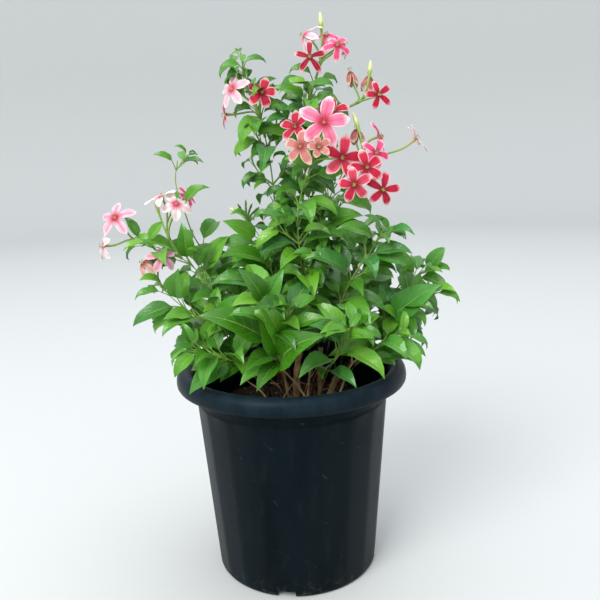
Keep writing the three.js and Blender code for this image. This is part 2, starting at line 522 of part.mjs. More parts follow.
// Leaf number n of a shoot, at a place on its stem, in its turn k.
function leafAt(shoot, n, at, azimuth, size, k) {
  const s = shoot.number;
  const { turn, lift, smaller } = leafTurn(k);
  const angle = azimuth + turn;
  const dir = at.side.clone().multiplyScalar(0.85 * Math.cos(angle));
  dir.addScaledVector(at.other, 0.85 * Math.sin(angle)).addScaledVector(at.tangent, 0.5);
  dir.z += lift + shoot.rise + 0.3 * (draw(s, n) - 0.5);
  dir.z = Math.min(Math.max(dir.z, -0.35), 0.75);
  dir.normalize();
  const up = LIGHT.clone().addScaledVector(dir, -dir.dot(LIGHT)).normalize();
  up.applyAxisAngle(dir, 0.5 * (draw(s, n + 500) - 0.5));
  const length = shoot.leaf * size * smaller * (0.86 + 0.3 * draw(s, n + 100));
  return {
    root: at.root, base: at.point.clone(), dir, up, length,
    width: length * (0.46 + 0.08 * draw(s, n + 200)),
    droop: THREE.MathUtils.degToRad(shoot.droop * (0.7 + 0.6 * draw(s, n + 300))),
    fold: THREE.MathUtils.degToRad(10 + 14 * draw(s, n + 400)),
    wave: 0.012 * length,
    petiole: 4 + 0.1 * length,
    stations: FEW_STATIONS,
  };
}

// One of the leaves that show best, with its tip moved in its turn k.
function shownLeaf(leaf, n, at, k) {
  const tip = new THREE.Vector3(...leaf.tip).add(new THREE.Vector3(0, moved(k, 4), 0));
  const base = at.point.clone();
  const chord = tip.clone().sub(base);
  const reach = chord.length();
  chord.normalize();
  const half = 0.5 * THREE.MathUtils.degToRad(leaf.bend);
  const looks = new THREE.Vector3(...leaf.looks).normalize();
  const above = looks.addScaledVector(chord, -looks.dot(chord)).normalize();
  const dir = chord.clone().multiplyScalar(Math.cos(half)).addScaledVector(above, Math.sin(half));
  const up = above.multiplyScalar(Math.cos(half)).addScaledVector(chord, -Math.sin(half));
  const petiole = 4 + 0.08 * reach;
  const length = ((reach - petiole * Math.cos(half)) * half) / Math.sin(half);
  return {
    root: at.root, base, dir, up, length, petiole,
    width: length * (0.45 + 0.07 * draw(n, 900)),
    droop: 2 * half,
    fold: THREE.MathUtils.degToRad(10 + 8 * draw(n, 901)),
    wave: 0.012 * length,
    stations: length > LONG_LEAF ? MORE_STATIONS : FEW_STATIONS,
  };
}

// Blooms

// Where a petal's outline turns: the share of its length and of its width. A small petal has fewer turns.
const PETAL_OUTLINE = [[0.42, -0.5], [0.86, -0.36], [0.98, 0.12], [0.5, 0.5]];
const SMALL_OUTLINE = [[0.5, -0.5], [0.98, -0.14], [0.62, 0.5]];

// Five petals round a small hub, in one piece of even thickness, open by an angle from the way it faces.
function corollaSolid(bloom, extra) {
  const { mouth, face, side, other } = bloom;
  const open = THREE.MathUtils.degToRad(bloom.open);
  const outline = bloom.petal > LARGE_PETAL ? PETAL_OUTLINE : SMALL_OUTLINE;
  const points = [];
  for (const sign of [1, -1]) {
    const thick = sign * (PETAL_THICKNESS / 2 + extra);
    points.push(mouth.clone().addScaledVector(face, thick));
    for (let i = 0; i < 5; i++) {
      const notch = (2 * Math.PI * (i - 0.5)) / 5 + bloom.roll;
      const valley = side.clone().multiplyScalar(Math.cos(notch)).addScaledVector(other, Math.sin(notch));
      points.push(mouth.clone().addScaledVector(valley, HUB_RADIUS + extra).addScaledVector(face, thick));
      const middle = (2 * Math.PI * i) / 5 + bloom.roll;
      const out = side.clone().multiplyScalar(Math.cos(middle)).addScaledVector(other, Math.sin(middle));
      const across = face.clone().cross(out);
      const slope = open + 0.25 * (draw(bloom.number, i) - 0.5);
      const length = bloom.petal * (0.92 + 0.16 * draw(bloom.number, i + 10));
      for (const [run, wide] of outline) {
        const bent = slope + 0.35 * run;
        const reach = HUB_RADIUS * 0.6 + (length + extra) * run * Math.sin(bent);
        const rise = (length + extra) * run * Math.cos(bent);
        const p = mouth.clone().addScaledVector(out, reach).addScaledVector(face, rise);
        p.addScaledVector(across, wide * (bloom.wide + 2 * extra));
        p.addScaledVector(face, thick * Math.sin(bent)).addScaledVector(out, -thick * Math.cos(bent));
        points.push(p);
      }
    }
  }
  const each = outline.length + 1;
  const half = 1 + 5 * each;
  const at = (face, i, k) => face * half + 1 + (((i + (k === each ? 1 : 0)) % 5) * each) + (k % each);
  const triangles = [];
  for (let i = 0; i < 5; i++) {
    triangles.push([0, at(0, i, 0), at(0, i, each)], [half, at(1, i, each), at(1, i, 0)]);
    const last = each - 1;
    const fan = [[0, 1, last], [0, last, each]];
    for (let k = 1; k + 1 < last; k++) fan.push([k, k + 1, last]);
    for (const [a, b, c] of fan) {
      triangles.push([at(0, i, a), at(0, i, b), at(0, i, c)], [at(1, i, a), at(1, i, c), at(1, i, b)]);
    }
    for (let k = 0; k < each; k++) {
      triangles.push([at(0, i, k), at(1, i, k), at(1, i, k + 1)]);
      triangles.push([at(0, i, k), at(1, i, k + 1), at(0, i, k + 1)]);
    }
  }
  return solidFrom(points, triangles);
}

// How far something moves in its turn k to stand clear, in steps away from the viewer and towards them.
const MOVES = 17;
function moved(k, step) {
  return Math.ceil(k / 2) * step * (k % 2 ? 1 : -1);
}

function bloomAt(bloom, number, k) {
  const face = new THREE.Vector3(...bloom.face).normalize();
  const mouth = new THREE.Vector3(...bloom.at).add(new THREE.Vector3(0, moved(k, 3), 0));
  const side = new THREE.Vector3(1, 0.2, 0.1).cross(face).normalize();
  const roll = 2 * Math.PI * draw(number, 77);
  return { ...bloom, number, mouth, face, side, other: face.clone().cross(side), roll };
}

// The slender green tube behind a bloom, from where the tubes of its cluster part.
function tubeSolid(neck, bloom, extra) {
  const end = bloom.mouth.clone().addScaledVector(bloom.face, extra - PETAL_THICKNESS / 2 - GAP);
  const throat = end.clone().addScaledVector(bloom.face, -5);
  const reach = neck.point.distanceTo(throat);
  const lift = neck.point.clone().addScaledVector(neck.tangent, 0.35 * reach);
  const back = throat.clone().addScaledVector(bloom.face, -0.35 * reach);
  const curve = new THREE.CubicBezierCurve3(neck.point, lift, back, throat);
  const stations = framed([...curve.getPoints(2), end]);
  const last = stations[3];
  last.side.addScaledVector(bloom.face, -last.side.dot(bloom.face)).normalize();
  last.other = bloom.face.clone().cross(last.side);
  return stemSolid(stations, [1, 1, 1.15, 1.5].map((r) => r + extra), TUBE_SIDES, false);
}

function budSolid(neck, bud, extra) {
  const tip = new THREE.Vector3(...bud.tip);
  const reach = neck.point.distanceTo(tip);
  const lift = neck.point.clone().addScaledVector(neck.tangent, 0.3 * reach);
  const curve = new THREE.QuadraticBezierCurve3(neck.point, lift, tip);
  const stations = framed([0, 0.5, 0.72, 0.86, 1].map((t) => curve.getPoint(t)));
  return stemSolid(stations, [0.8, 0.95, bud.fat * 0.8, bud.fat, 0].map((r) => r + extra), BUD_SIDES, true);
}

// Putting the plant together

// Every solid that stands so far, with the node that holds it.
const placed = [];

function put(node, solid) {
  placed.push({ node, solid, box: solid.boundingBox() });
}

function overlap(a, b) {
  return a.min.every((low, i) => low <= b.max[i] && b.min[i] <= a.max[i]);
}

// Whether a fattened copy of a piece stands clear of all that the chosen nodes hold.
function isClear(solid, chosen) {
  const box = solid.boundingBox();
  const near = placed.filter((p) => chosen(p.node) && overlap(box, p.box));
  return near.every((p) => solid.intersect(p.solid).isEmpty());
}

function firstTurn(turns, made) {
  for (let k = 0; k < turns; k++) {
    const found = made(k);
    if (found) return found;
  }
  return null;
}

// The woody foot and the green stem of a shoot, end to end with a small gap. The first shoot of a foot goes
// down into the soil, and the others fork from it.
function growShoot(shoot, number, foot) {
  const root = new THREE.Vector3(foot.at[0], foot.at[1], soilHeight(...foot.at) + 3);
  const stations = wayOf([root, ...shoot.way.map((p) => new THREE.Vector3(...p))]);
  const whole = stations[stations.length - 1].run;
  const radii = (list) => list.map((p) => shoot.thick * (1 - TAPER * Math.pow(p.run / whole, 0.8)));
  const cut = shoot.woody * whole;
  const woody = [...stations.filter((p) => p.run < cut - 3), along(stations, shoot.woody)];
  const green = [along(stations, shoot.woody + GAP / whole), ...stations.filter((p) => p.run > cut + 5)];
  const down = woody[0].tangent;
  const atDepth = (depth) => ({ ...woody[0], point: root.clone().addScaledVector(down, -depth) });
  let hole = null;
  let wood = stemSolid(woody, radii(woody), STEM_SIDES, false);
  if (foot.shoots[0] === shoot.name) {
    const bore = shoot.thick + GAP + 0.2;
    wood = stemSolid([atDepth(BURIED), ...woody], [shoot.thick, ...radii(woody)], STEM_SIDES, false);
    hole = stemSolid([atDepth(BURIED + GAP), atDepth(-8)], [bore, bore], STEM_SIDES, false);
  }
  const stem = stemSolid(green, radii(green), STEM_SIDES, true);
  put("woody_stem_" + foot.shoots[0], wood);
  put("shoot_" + shoot.name, stem);
  return { ...shoot, number, node: "shoot_" + shoot.name, stations, wood, hole, parts: [stem] };
}

function addTo(shoot, solid) {
  put(shoot.node, solid);
  shoot.parts.push(solid);
}

// The point where the tubes of a cluster part, at the end of its stalk.
function growStalk(shoot, cluster) {
  const fork = along(shoot.stations, cluster.share);
  const way = framed([fork.point, new THREE.Vector3(...cluster.neck)]);
  addTo(shoot, stemSolid(way, [STALK_RADIUS, STALK_RADIUS], TUBE_SIDES, false));
  return { ...way[1], point: way[1].point.clone().addScaledVector(way[1].tangent, -0.8) };
}

function growBud(shoot, neck, bud) {
  const elsewhere = (node) => node !== shoot.node;
  const found = firstTurn(MOVES, (k) => {
    const tip = [bud.tip[0], bud.tip[1] + moved(k, 3), bud.tip[2]];
    const clear = isClear(budSolid(neck, { ...bud, tip }, GAP), elsewhere);
    return clear ? budSolid(neck, { ...bud, tip }, 0) : null;
  });
  if (found) addTo(shoot, found);
}

// A bloom's tube goes to its shoot, and its petals are a node of their own that stands just clear of it.
function growBloom(shoot, neck, bloom, number) {
  const elsewhere = (node) => node !== shoot.node;
  const found = firstTurn(MOVES, (k) => {
    const made = bloomAt(bloom, number, k);
    const tube = tubeSolid(neck, made, 0);
    const clear =
      isClear(corollaSolid(made, GAP), () => true) &&
      isClear(tubeSolid(neck, made, GAP / 2), elsewhere) &&
      tube.intersect(corollaSolid(made, GAP / 3)).isEmpty();
    return clear ? { tube, petals: corollaSolid(made, 0) } : null;
  });
  if (!found) return null;
  const name = "bloom_" + String(number + 1).padStart(2, "0");
  put(name, found.petals);
  addTo(shoot, found.tube);
  return { name, solid: found.petals, tone: bloom.tone };
}

// A leaf grows in its first turn that stands clear of other nodes and of its own shoot, or not at all.
function growLeaf(shoot, turns, leafInTurn) {
  const found = firstTurn(turns, (k) => {
    const leaf = leafInTurn(k);
    const clear =
      isClear(leafSolid(leaf, GAP, false), (node) => node !== shoot.node) &&
      isClear(leafSolid(leaf, GAP / 2, true), (node) => node === shoot.node);
    return clear ? leafSolid(leaf, 0, false) : null;
  });
  if (found) addTo(shoot, found);
}

// Where a leaf grows: its place on the stem, and the root of its stalk a little below, inside the stem.
function nodeOf(stations, share) {
  const whole = stations[stations.length - 1].run;
  return { ...along(stations, share), root: along(stations, share - STALK_SLANT / whole).point };
}

// The rest of a shoot's leaves, in pairs that are each turned a quarter from the pair below.
function growPairs(shoot) {
  const apart = (LAST_PAIR - shoot.leafy) / (shoot.pairs - 1);
  for (let n = 0; n < 2 * shoot.pairs; n++) {
    const pair = Math.floor(n / 2);
    const at = nodeOf(shoot.stations, shoot.leafy + apart * pair);
    const azimuth = THREE.MathUtils.degToRad(shoot.turn + 90 * (pair % 2) + 180 * (n % 2));
    const size = YOUNG_SIZES[shoot.pairs - 1 - pair] ?? 1;
    growLeaf(shoot, LEAF_TURNS, (k) => leafAt(shoot, n, at, azimuth, size, k));
  }
}

function joined(parts) {
  return parts.reduce((whole, part) => whole.add(part));
}

function meshOf(name, solid, material) {
  const mesh = new THREE.Mesh(geometryOf(solid), material.clone());
  mesh.name = name;
  return mesh;
}

const pot = potSolid();
const wholeSoil = soilSolid();
put("pot", pot);
put("soil", wholeSoil);

const shoots = SHOOTS.map((shoot, s) => {
  const foot = FEET.find((each) => each.shoots.includes(shoot.name));
  return growShoot(shoot, s, foot);
});
const shootNamed = (name) => shoots.find((shoot) => shoot.name === name);

const blooms = [];
for (const cluster of CLUSTERS) {
  const shoot = shootNamed(cluster.shoot);
  const neck = growStalk(shoot, cluster);
  for (const bud of cluster.buds) growBud(shoot, neck, bud);
  for (const bloom of cluster.blooms) blooms.push(growBloom(shoot, neck, bloom, blooms.length));
}
for (const [n, leaf] of LEAVES.entries()) {
  const shoot = shootNamed(leaf.shoot);
  const at = nodeOf(shoot.stations, leaf.share);
  growLeaf(shoot, MOVES, (k) => shownLeaf(leaf, n, at, k));
}
for (const shoot of shoots) growPairs(shoot);

const holes = shoots.filter((shoot) => shoot.hole).map((shoot) => shoot.hole);
const soil = wholeSoil.subtract(joined(holes));

const plant = new THREE.Group();
plant.name = "potted_rangoon_creeper";
plant.add(meshOf("pot", pot, MATERIALS.plastic));
plant.add(meshOf("soil", soil, MATERIALS.soil));
for (const foot of FEET) {
  const wood = joined(foot.shoots.map((name) => shootNamed(name).wood));
  plant.add(meshOf("woody_stem_" + foot.shoots[0], wood, MATERIALS.bark));
}
for (const shoot of shoots) plant.add(meshOf(shoot.node, joined(shoot.parts), MATERIALS.leaf));
for (const bloom of blooms.filter(Boolean)) {
  plant.add(meshOf(bloom.name, bloom.solid, MATERIALS[bloom.tone]));
}

export default plant;
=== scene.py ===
import functools
import math
from types import SimpleNamespace

import bpy
import numpy as np
from bpy.props import FloatProperty, FloatVectorProperty, IntProperty, PointerProperty
from bpy.types import Operator, Panel, PropertyGroup
from mathutils import Matrix, Vector, kdtree, noise


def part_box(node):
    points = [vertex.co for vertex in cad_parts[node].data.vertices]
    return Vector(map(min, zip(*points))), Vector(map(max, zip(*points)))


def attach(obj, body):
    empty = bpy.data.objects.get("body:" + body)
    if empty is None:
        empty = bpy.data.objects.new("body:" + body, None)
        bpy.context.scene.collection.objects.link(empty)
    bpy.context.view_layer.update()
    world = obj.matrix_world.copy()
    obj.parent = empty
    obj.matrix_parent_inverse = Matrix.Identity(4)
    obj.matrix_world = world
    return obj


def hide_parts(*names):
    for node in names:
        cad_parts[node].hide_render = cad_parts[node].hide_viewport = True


bl_info = {
    "name": "Potted rangoon creeper",
    "version": (1, 0, 0),
    "blender": (4, 5, 0),
    "location": "3D View > Sidebar > Creeper",
    "description": "Builds a rangoon creeper in bloom, in a black nursery pot",
    "category": "Add Mesh",
}

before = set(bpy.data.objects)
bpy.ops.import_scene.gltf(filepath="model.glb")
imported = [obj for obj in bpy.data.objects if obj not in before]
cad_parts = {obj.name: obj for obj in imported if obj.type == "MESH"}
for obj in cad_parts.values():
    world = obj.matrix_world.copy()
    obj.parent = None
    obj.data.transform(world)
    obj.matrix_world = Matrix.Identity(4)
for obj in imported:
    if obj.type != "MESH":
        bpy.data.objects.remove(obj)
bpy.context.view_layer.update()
MM = 0.001


def linear(hex_code):
    """An sRGB hex value as linear red, green, blue and alpha."""
    parts = [int(hex_code[i:i + 2], 16) / 255 for i in (0, 2, 4)]
    return tuple(c / 12.92 if c <= 0.04045 else ((c + 0.055) / 1.055) ** 2.4 for c in parts) + (1.0,)


# The pot, as its solid has it
POT_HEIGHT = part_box("pot")[1].z / MM
RIM_RADIUS = 107.5
MOUTH_RADIUS = 93
MOUTH_DROP = 5
SHOULDER_RADIUS = 90.9
SHOULDER_Z = 177
LEDGE_Z = 165
FOOT_RADIUS = 77.3
WALL = 2.4
FLOOR = 3
FACETS = 20
FACET_TURN = math.radians(15)
NOTCHES = 4
NOTCH_TURN = math.radians(-9)
NOTCH_WIDTH = 17
NOTCH_HEIGHT = 6
NOTCH_REACH = 22
DRAIN_RADIUS = 5
DRAIN_CIRCLE = 45
# How far the ledge's rings lie in from the shoulder and above the ledge, and how far those of the rolled rim,
# from under its droop to the mouth, lie in from the rim and below the top
LEDGE = ((1.15, 1.3), (1.45, 2.2), (1.65, 3.6), (1.75, 6))
RIM_ROLL = (
    (15, 16), (12, 12.4), (9.4, 9.6), (7.8, 8.8), (6.4, 9.8), (4.8, 12.8), (3.5, 14.7), (2.3, 15.3),
    (1.1, 14.8), (0.2, 13.2), (0, 11), (0.2, 8.4), (0.9, 5.6), (2.3, 3), (4.2, 1.1), (6.4, 0.2), (8.6, 0),
    (10.8, 0.7), (12.8, 2.2), (14.6, 4.4), (15.8, 6.6))

# The soil and what the plant's rules share
SOIL_LEVEL = 149
MOUND_HEIGHT = 5
MOUND_SPREAD = 35
CROWN = (10, 5)
BURIED = 24
GAP = 0.4
TAPER = 0.62
LAST_PAIR = 0.985
STALK_SLANT = 6
HUB_RADIUS = 2.1
CAD_PETAL_THICKNESS = 0.7
YOUNG_SIZES = (0.5, 0.8)
LIGHT = np.array((0.05, -0.85, 1.0)) / math.hypot(0.05, 0.85, 1.0)
LEAF_TURNS = 36
ROUND = 9
ROUND_LIFTS = (0, 0.35, -0.3, 0.1)
ROUND_SIZES = (1, 0.88, 0.82, 0.68)
MOVES = 17
# How far a turn of a leaf in a pair takes it round its stem, in degrees, how far one of a leaf's tip or of a
# bloom moves it, and how near a corner of its solid a mark has to be
PAIR_STEP = 17
TIP_STEP = 4
BLOOM_STEP = 3
NEAR = 0.03

# Each shoot: the points that it grows through from its foot, its radius at the foot, the share of its length
# that is woody, the share where its leaves begin, its pairs of leaves, the length of a full-grown blade, how
# far a blade bends over in degrees, how steeply it rises, and how its first pair is turned.
TRAITS = ("thick", "woody", "leafy", "pairs", "leaf", "droop", "rise", "turn")
SHOOTS = {
    "spike": (((6, 9, 200), (12, 8, 270), (16, 8, 340), (17, 6, 390), (23, 2, 426), (32, 0, 456)),
        3.3, 0.24, 0.4, 7, 42, 70, -0.15, 20),
    "arch": (((-6, 16, 210), (-8, 18, 270), (-9, 16, 325), (-12, 9, 378), (-20, 2, 424), (-33, 0, 463)),
        2.6, 0.24, 0.34, 7, 34, 75, -0.25, 60),
    "truss": (((17, -14, 215), (14, -20, 270), (10, -28, 325), (14, -34, 355), (22, -36, 374)),
        2.4, 0.3, 0.42, 5, 42, 70, -0.05, 10),
    "right_truss": (((26, -4, 220), (29, -4, 280), (35, -14, 334), (43, -22, 358), (58, -30, 374)),
        2.5, 0.28, 0.42, 5, 42, 70, -0.05, 50),
    "left_high": (((-34, 10, 215), (-62, 9, 280), (-83, 6, 314), (-91, 2, 340), (-97, 0, 366), (-94, 0, 386)),
        2.4, 0.24, 0.36, 5, 34, 50, 0.1, 30),
    "left_far": (((-44, -8, 215), (-62, -12, 258), (-84, -14, 292), (-110, -14, 309), (-132, -14, 316)),
        2.2, 0.26, 0.38, 5, 42, 50, 0.1, 0),
    "left_mid": (((-40, -28, 205), (-62, -34, 240), (-82, -36, 253), (-99, -34, 266), (-111, -32, 280)),
        2.1, 0.3, 0.4, 4, 46, 55, 0.15, 45),
    "left_low": (((-38, -38, 202), (-62, -56, 220), (-84, -62, 230)),
        2, 0.5, 0.62, 3, 42, 60, 0.25, 20),
    "front_left": (((-12, -46, 210), (-18, -70, 250), (-20, -84, 274)),
        2, 0.36, 0.5, 3, 50, 45, 0.3, 70),
    "front": (((-8, -42, 192), (-9, -64, 222), (-5, -78, 246), (-1, -85, 265)),
        2.1, 0.36, 0.56, 3, 48, 45, 0.3, 10),
    "front_right": (((28, -40, 188), (37, -62, 216), (44, -74, 232), (55, -82, 248)),
        2, 0.34, 0.62, 4, 42, 50, 0.3, 40),
    "right_low": (((48, -20, 182), (62, -38, 208), (83, -46, 225), (98, -50, 232)),
        2.1, 0.5, 0.62, 3, 42, 60, 0.35, 10),
    "right_mid": (((60, -8, 205), (89, -16, 237), (114, -18, 253), (134, -18, 263)),
        2.2, 0.32, 0.46, 4, 46, 60, 0.15, 30),
    "right_high": (((56, 10, 215), (88, 8, 252), (110, 4, 266), (126, 2, 279)),
        2.1, 0.32, 0.44, 5, 44, 60, 0.1, 60),
    "right_inner": (((38, -20, 230), (53, -32, 275), (69, -38, 300), (83, -40, 322)),
        2, 0.34, 0.44, 5, 46, 60, 0.1, 25),
    "back_right": (((48, 48, 215), (66, 76, 260), (76, 92, 290)),
        2.2, 0.34, 0.48, 5, 48, 55, 0.15, 15),
    "back": (((4, 56, 218), (2, 84, 268), (-4, 98, 302)),
        2.2, 0.34, 0.48, 5, 48, 55, 0.15, 55),
    "back_left": (((-36, 50, 215), (-56, 76, 258), (-66, 90, 285)),
        2.2, 0.34, 0.48, 5, 48, 55, 0.15, 35),
    "middle": (((-9, -4, 215), (-12, -12, 270), (-20, -12, 308), (-32, -10, 330)),
        2, 0.34, 0.42, 6, 46, 40, 0.1, 0),
}

# Single leaves that show best: the shoot and the share of its length where each grows, the place of its tip,
# how far it bends in degrees, and the way that its upper side looks.
LEAVES = (
    ("left_mid", 0.86, (-136, -46, 247), 40, (0, -1, 1)),
    ("left_mid", 0.96, (-134, -40, 270), 35, (-0.2, -0.6, 1)),
    ("left_mid", 0.87, (-91, -52, 298), 30, (-0.2, -1, 0.3)),
    ("left_mid", 0.72, (-109, -60, 240), 55, (-0.3, -0.7, 1)),
    ("left_low", 0.66, (-86, -84, 198), 40, (0, -1, 0.9)),
    ("left_low", 0.97, (-98, -72, 216), 70, (-0.6, -0.2, 1)),
    ("left_far", 0.77, (-90, -26, 334), 30, (0.2, -1, 0.4)),
    ("front_left", 0.98, (-39, -102, 304), 50, (0, -1, 0.7)),
    ("front_left", 0.96, (-3, -102, 300), 30, (0, -1, 0.4)),
    ("front_left", 0.62, (-75, -78, 262), 40, (0, -0.8, 1)),
    ("front_left", 0.42, (-44, -80, 202), 45, (0, -0.6, 1)),
    ("front", 0.56, (-26, -90, 263), 30, (0.4, -1, 0.3)),
    ("front", 0.55, (24, -92, 252), 40, (-0.4, -1, 0.5)),
    ("front", 0.76, (-23, -96, 276), 25, (0.4, -1, 0.3)),
    ("front_right", 0.7, (15, -100, 258), 55, (0, -0.9, 1)),
    ("front_right", 0.5, (53, -86, 199), 30, (0.3, -1, 0.6)),
    ("front_right", 0.48, (25, -84, 205), 50, (-0.3, -1, 0.5)),
    ("right_low", 0.86, (117, -54, 212), 45, (0.2, -0.8, 1)),
    ("right_mid", 0.64, (132, -38, 274), 20, (-0.2, -1, 0.7)),
    ("right_mid", 0.97, (151, -24, 249), 75, (0.3, -0.3, 1)),
    ("right_mid", 0.78, (120, -40, 233), 70, (0.3, -0.7, 1)),
    ("right_high", 0.96, (143, -6, 277), 50, (0, -0.6, 1)),
    ("right_inner", 0.86, (106, -54, 303), 45, (0, -0.8, 1)),
    ("right_inner", 0.97, (101, -44, 315), 80, (0.2, -0.5, 1)),
    ("right_inner", 0.94, (40, -50, 325), 50, (0, -0.8, 1)),
    ("right_truss", 0.74, (68, -34, 335), 60, (0.3, -1, 0.5)),
    ("middle", 0.9, (-55, -26, 334), 30, (0.1, -1, 0.4)),
    ("arch", 0.87, (-37, -14, 395), 50, (-0.3, -1, 0.4)),
    ("arch", 0.79, (-28, -10, 384), 50, (-0.3, -1, 0.4)),
    ("arch", 0.74, (-18, -12, 376), 45, (-0.2, -1, 0.4)),
    ("arch", 0.66, (-28, -4, 356), 60, (-0.4, -0.6, 0.8)),
    ("arch", 0.93, (-3, -12, 452), 40, (0, -1, 0.6)),
    ("spike", 0.93, (51, -12, 428), 60, (0.4, -1, 0.4)),
    ("spike", 0.9, (20, -28, 424), 45, (0, -1, 0.5)),
    ("spike", 0.88, (1, -18, 424), 50, (-0.3, -1, 0.5)),
    ("spike", 0.92, (-10, -4, 443), 40, (0, -0.8, 0.8)),
)

# Each cluster of blooms: the shoot that bears it and the share of its length there, the point where its tubes
# part, its blooms and its buds. A bloom has the place of its mouth, the way that it faces, the length and
# width of a petal, the angle between a petal and the way that the bloom faces, and its colour. A bud has the
# place of its tip and its radius.
CLUSTERS = (
    ("spike", 0.985, (34, -1, 462), (
        ((21, -2, 487), (-0.8, -0.25, 0.5), 16, 6, 118, "pale"),
        ((25, -18, 467), (-0.05, -1, 0.12), 15, 5.4, 84, "crimson"),
        ((41, -4, 488), (-0.1, -0.55, 0.85), 13, 6, 96, "pink"),
        ((49, -10, 477), (0.15, -0.85, 0.45), 13, 6, 96, "pink"),
        ((57, 4, 482), (0.8, -0.2, 0.5), 13, 6, 112, "faded"),
    ), (((36, 6, 507), 2.3),)),
    ("spike", 0.84, (66, 0, 430), (
        ((61, 6, 457), (-0.15, 0.1, 1), 14, 5, 140, "faded"),
        ((79, 10, 454), (0.1, 0.1, 1), 15, 7, 136, "faded"),
        ((83, -16, 435), (0.25, -0.96, 0.1), 13, 6, 84, "crimson"),
    ), (((80, 12, 467), 2.3),)),
    ("truss", 0.985, (22, -36, 377), (
        ((33, -62, 411), (-0.05, -0.97, 0.22), 20, 11, 78, "pink"),
        ((11, -28, 410), (-0.4, -0.75, 0.5), 15, 8, 62, "crimson"),
        ((44, -22, 423), (0.2, -0.8, 0.6), 15, 8, 75, "crimson"),
        ((14, -54, 393), (-0.35, -0.85, 0.35), 15, 8, 75, "faded"),
        ((28, -70, 392), (0.1, -0.9, 0.2), 9, 6, 60, "faded"),
        ((47, -60, 383), (0.1, -0.97, 0.1), 18, 9.5, 76, "crimson"),
    ), (((10, -46, 393), 3),)),
    ("right_truss", 0.985, (62, -30, 377), (
        ((64, -14, 407), (0.1, 0.2, 1), 14, 7, 138, "faded"),
        ((81, -32, 400), (0.9, -0.35, 0.3), 15, 6, 82, "pink"),
        ((76, -46, 386), (0.35, -0.9, 0.35), 13, 6.5, 80, "pink"),
        ((66, -58, 375), (0, -0.97, 0.2), 14, 8, 78, "crimson"),
        ((55, -70, 362), (-0.2, -0.95, 0.1), 14, 8, 78, "crimson"),
        ((79, -64, 357), (0.1, -0.98, 0.05), 15, 7, 82, "crimson"),
        ((113, -24, 397), (0.75, -0.1, 0.6), 15, 5, 62, "pale"),
    ), (((61, -8, 422), 2.2),)),
    ("arch", 0.8, (-19, -3, 421), (
        ((-42, -6, 444), (-0.6, -0.6, 0.3), 16, 8.5, 82, "pale"),
        ((-16, -14, 440), (0.05, -0.95, 0.25), 13, 8.5, 78, "crimson"),
        ((-50, -2, 424), (-0.97, -0.2, 0), 13, 5.5, 78, "crimson"),
    ), (((-40, 4, 460), 2.2),)),
    ("left_far", 0.8, (-104, -11, 317), (
        ((-109, -6, 355), (-0.35, -0.2, 0.9), 15, 7, 78, "pale"),
        ((-95, -18, 349), (0.15, -0.8, 0.5), 14, 8, 104, "pale"),
        ((-90, -2, 354), (0.75, -0.3, 0.6), 12, 6, 70, "pink"),
    ), (((-116, -4, 353), 2),)),
    ("left_far", 0.985, (-134, -14, 318), (
        ((-148, -22, 339), (-0.25, -0.85, 0.5), 17, 8, 96, "pink"),
        ((-161, -20, 315), (-0.92, -0.35, 0.1), 15, 7, 84, "pale"),
    ), ()),
    ("left_mid", 0.985, (-112, -33, 283), (
        ((-124, -38, 301), (-0.4, -0.6, 0.7), 13, 6, 125, "faded"),
        ((-107, -38, 306), (0.3, -0.7, 0.6), 14, 7, 100, "pink"),
    ), ()),
    ("middle", 0.97, (-33, -10, 331), (
    ), (((-50, -6, 343), 1.9), ((-42, -14, 347), 1.2), ((-35, -6, 350), 1.2), ((-29, -14, 347), 1.2),
        ((-23, -6, 343), 1.2))),
)

# The feet on the soil, and the shoots that fork from each.
FEET = (
    ((2, 10), ("spike", "arch", "middle")),
    ((22, -6), ("truss", "right_truss", "right_inner")),
    ((-20, 8), ("left_high", "left_far")),
    ((-18, -14), ("left_mid", "left_low")),
    ((-3, -22), ("front_left", "front")),
    ((24, -26), ("front_right", "right_low")),
    ((40, 8), ("right_mid", "right_high", "back_right")),
    ((4, 34), ("back", "back_left")),
)


# How the plant grows. These rules are the ones that its solids follow, so that each leaf, bud and bloom here
# finds the solid that it stands for.

def draw(a, b):
    """A repeatable draw between 0 and 1 from two whole numbers."""
    s = math.sin(a * 12.9898 + b * 78.233) * 43758.5453
    return s - math.floor(s)


def point(values):
    """A place or a way, to reckon with."""
    return np.array(values, float)


def unit(way):
    """A way with a length of 1."""
    return way / np.linalg.norm(way)


def soil_height(x, y):
    """The soil's level at a place, with its mound round the crown."""
    away = math.hypot(x - CROWN[0], y - CROWN[1])
    mound = MOUND_HEIGHT * math.exp(-away * away / (2 * MOUND_SPREAD * MOUND_SPREAD))
    bumps = 0.6 * math.sin(x * 0.19 + 1.3) * math.cos(y * 0.17) + 0.5 * math.sin((x + y) * 0.11)
    return SOIL_LEVEL + mound + bumps


def smooth_line(corners, steps):
    """A smooth line through corners, with steps from each to the next."""
    ends = [2 * corners[0] - corners[1], *corners, 2 * corners[-1] - corners[-2]]
    line = []
    for i in range(len(corners) - 1):
        a, b, c, d = ends[i:i + 4]
        for t in np.arange(steps) / steps:
            bend = 2 * a - 5 * b + 4 * c - d + t * (3 * b - a - 3 * c + d)
            line.append(b + 0.5 * t * (c - a + t * bend))
    return line + [corners[-1]]


def bezier(controls, share):
    """The point of a Bezier curve at a share of its run."""
    while len(controls) > 1:
        controls = [a + (b - a) * share for a, b in zip(controls, controls[1:])]
    return controls[0]


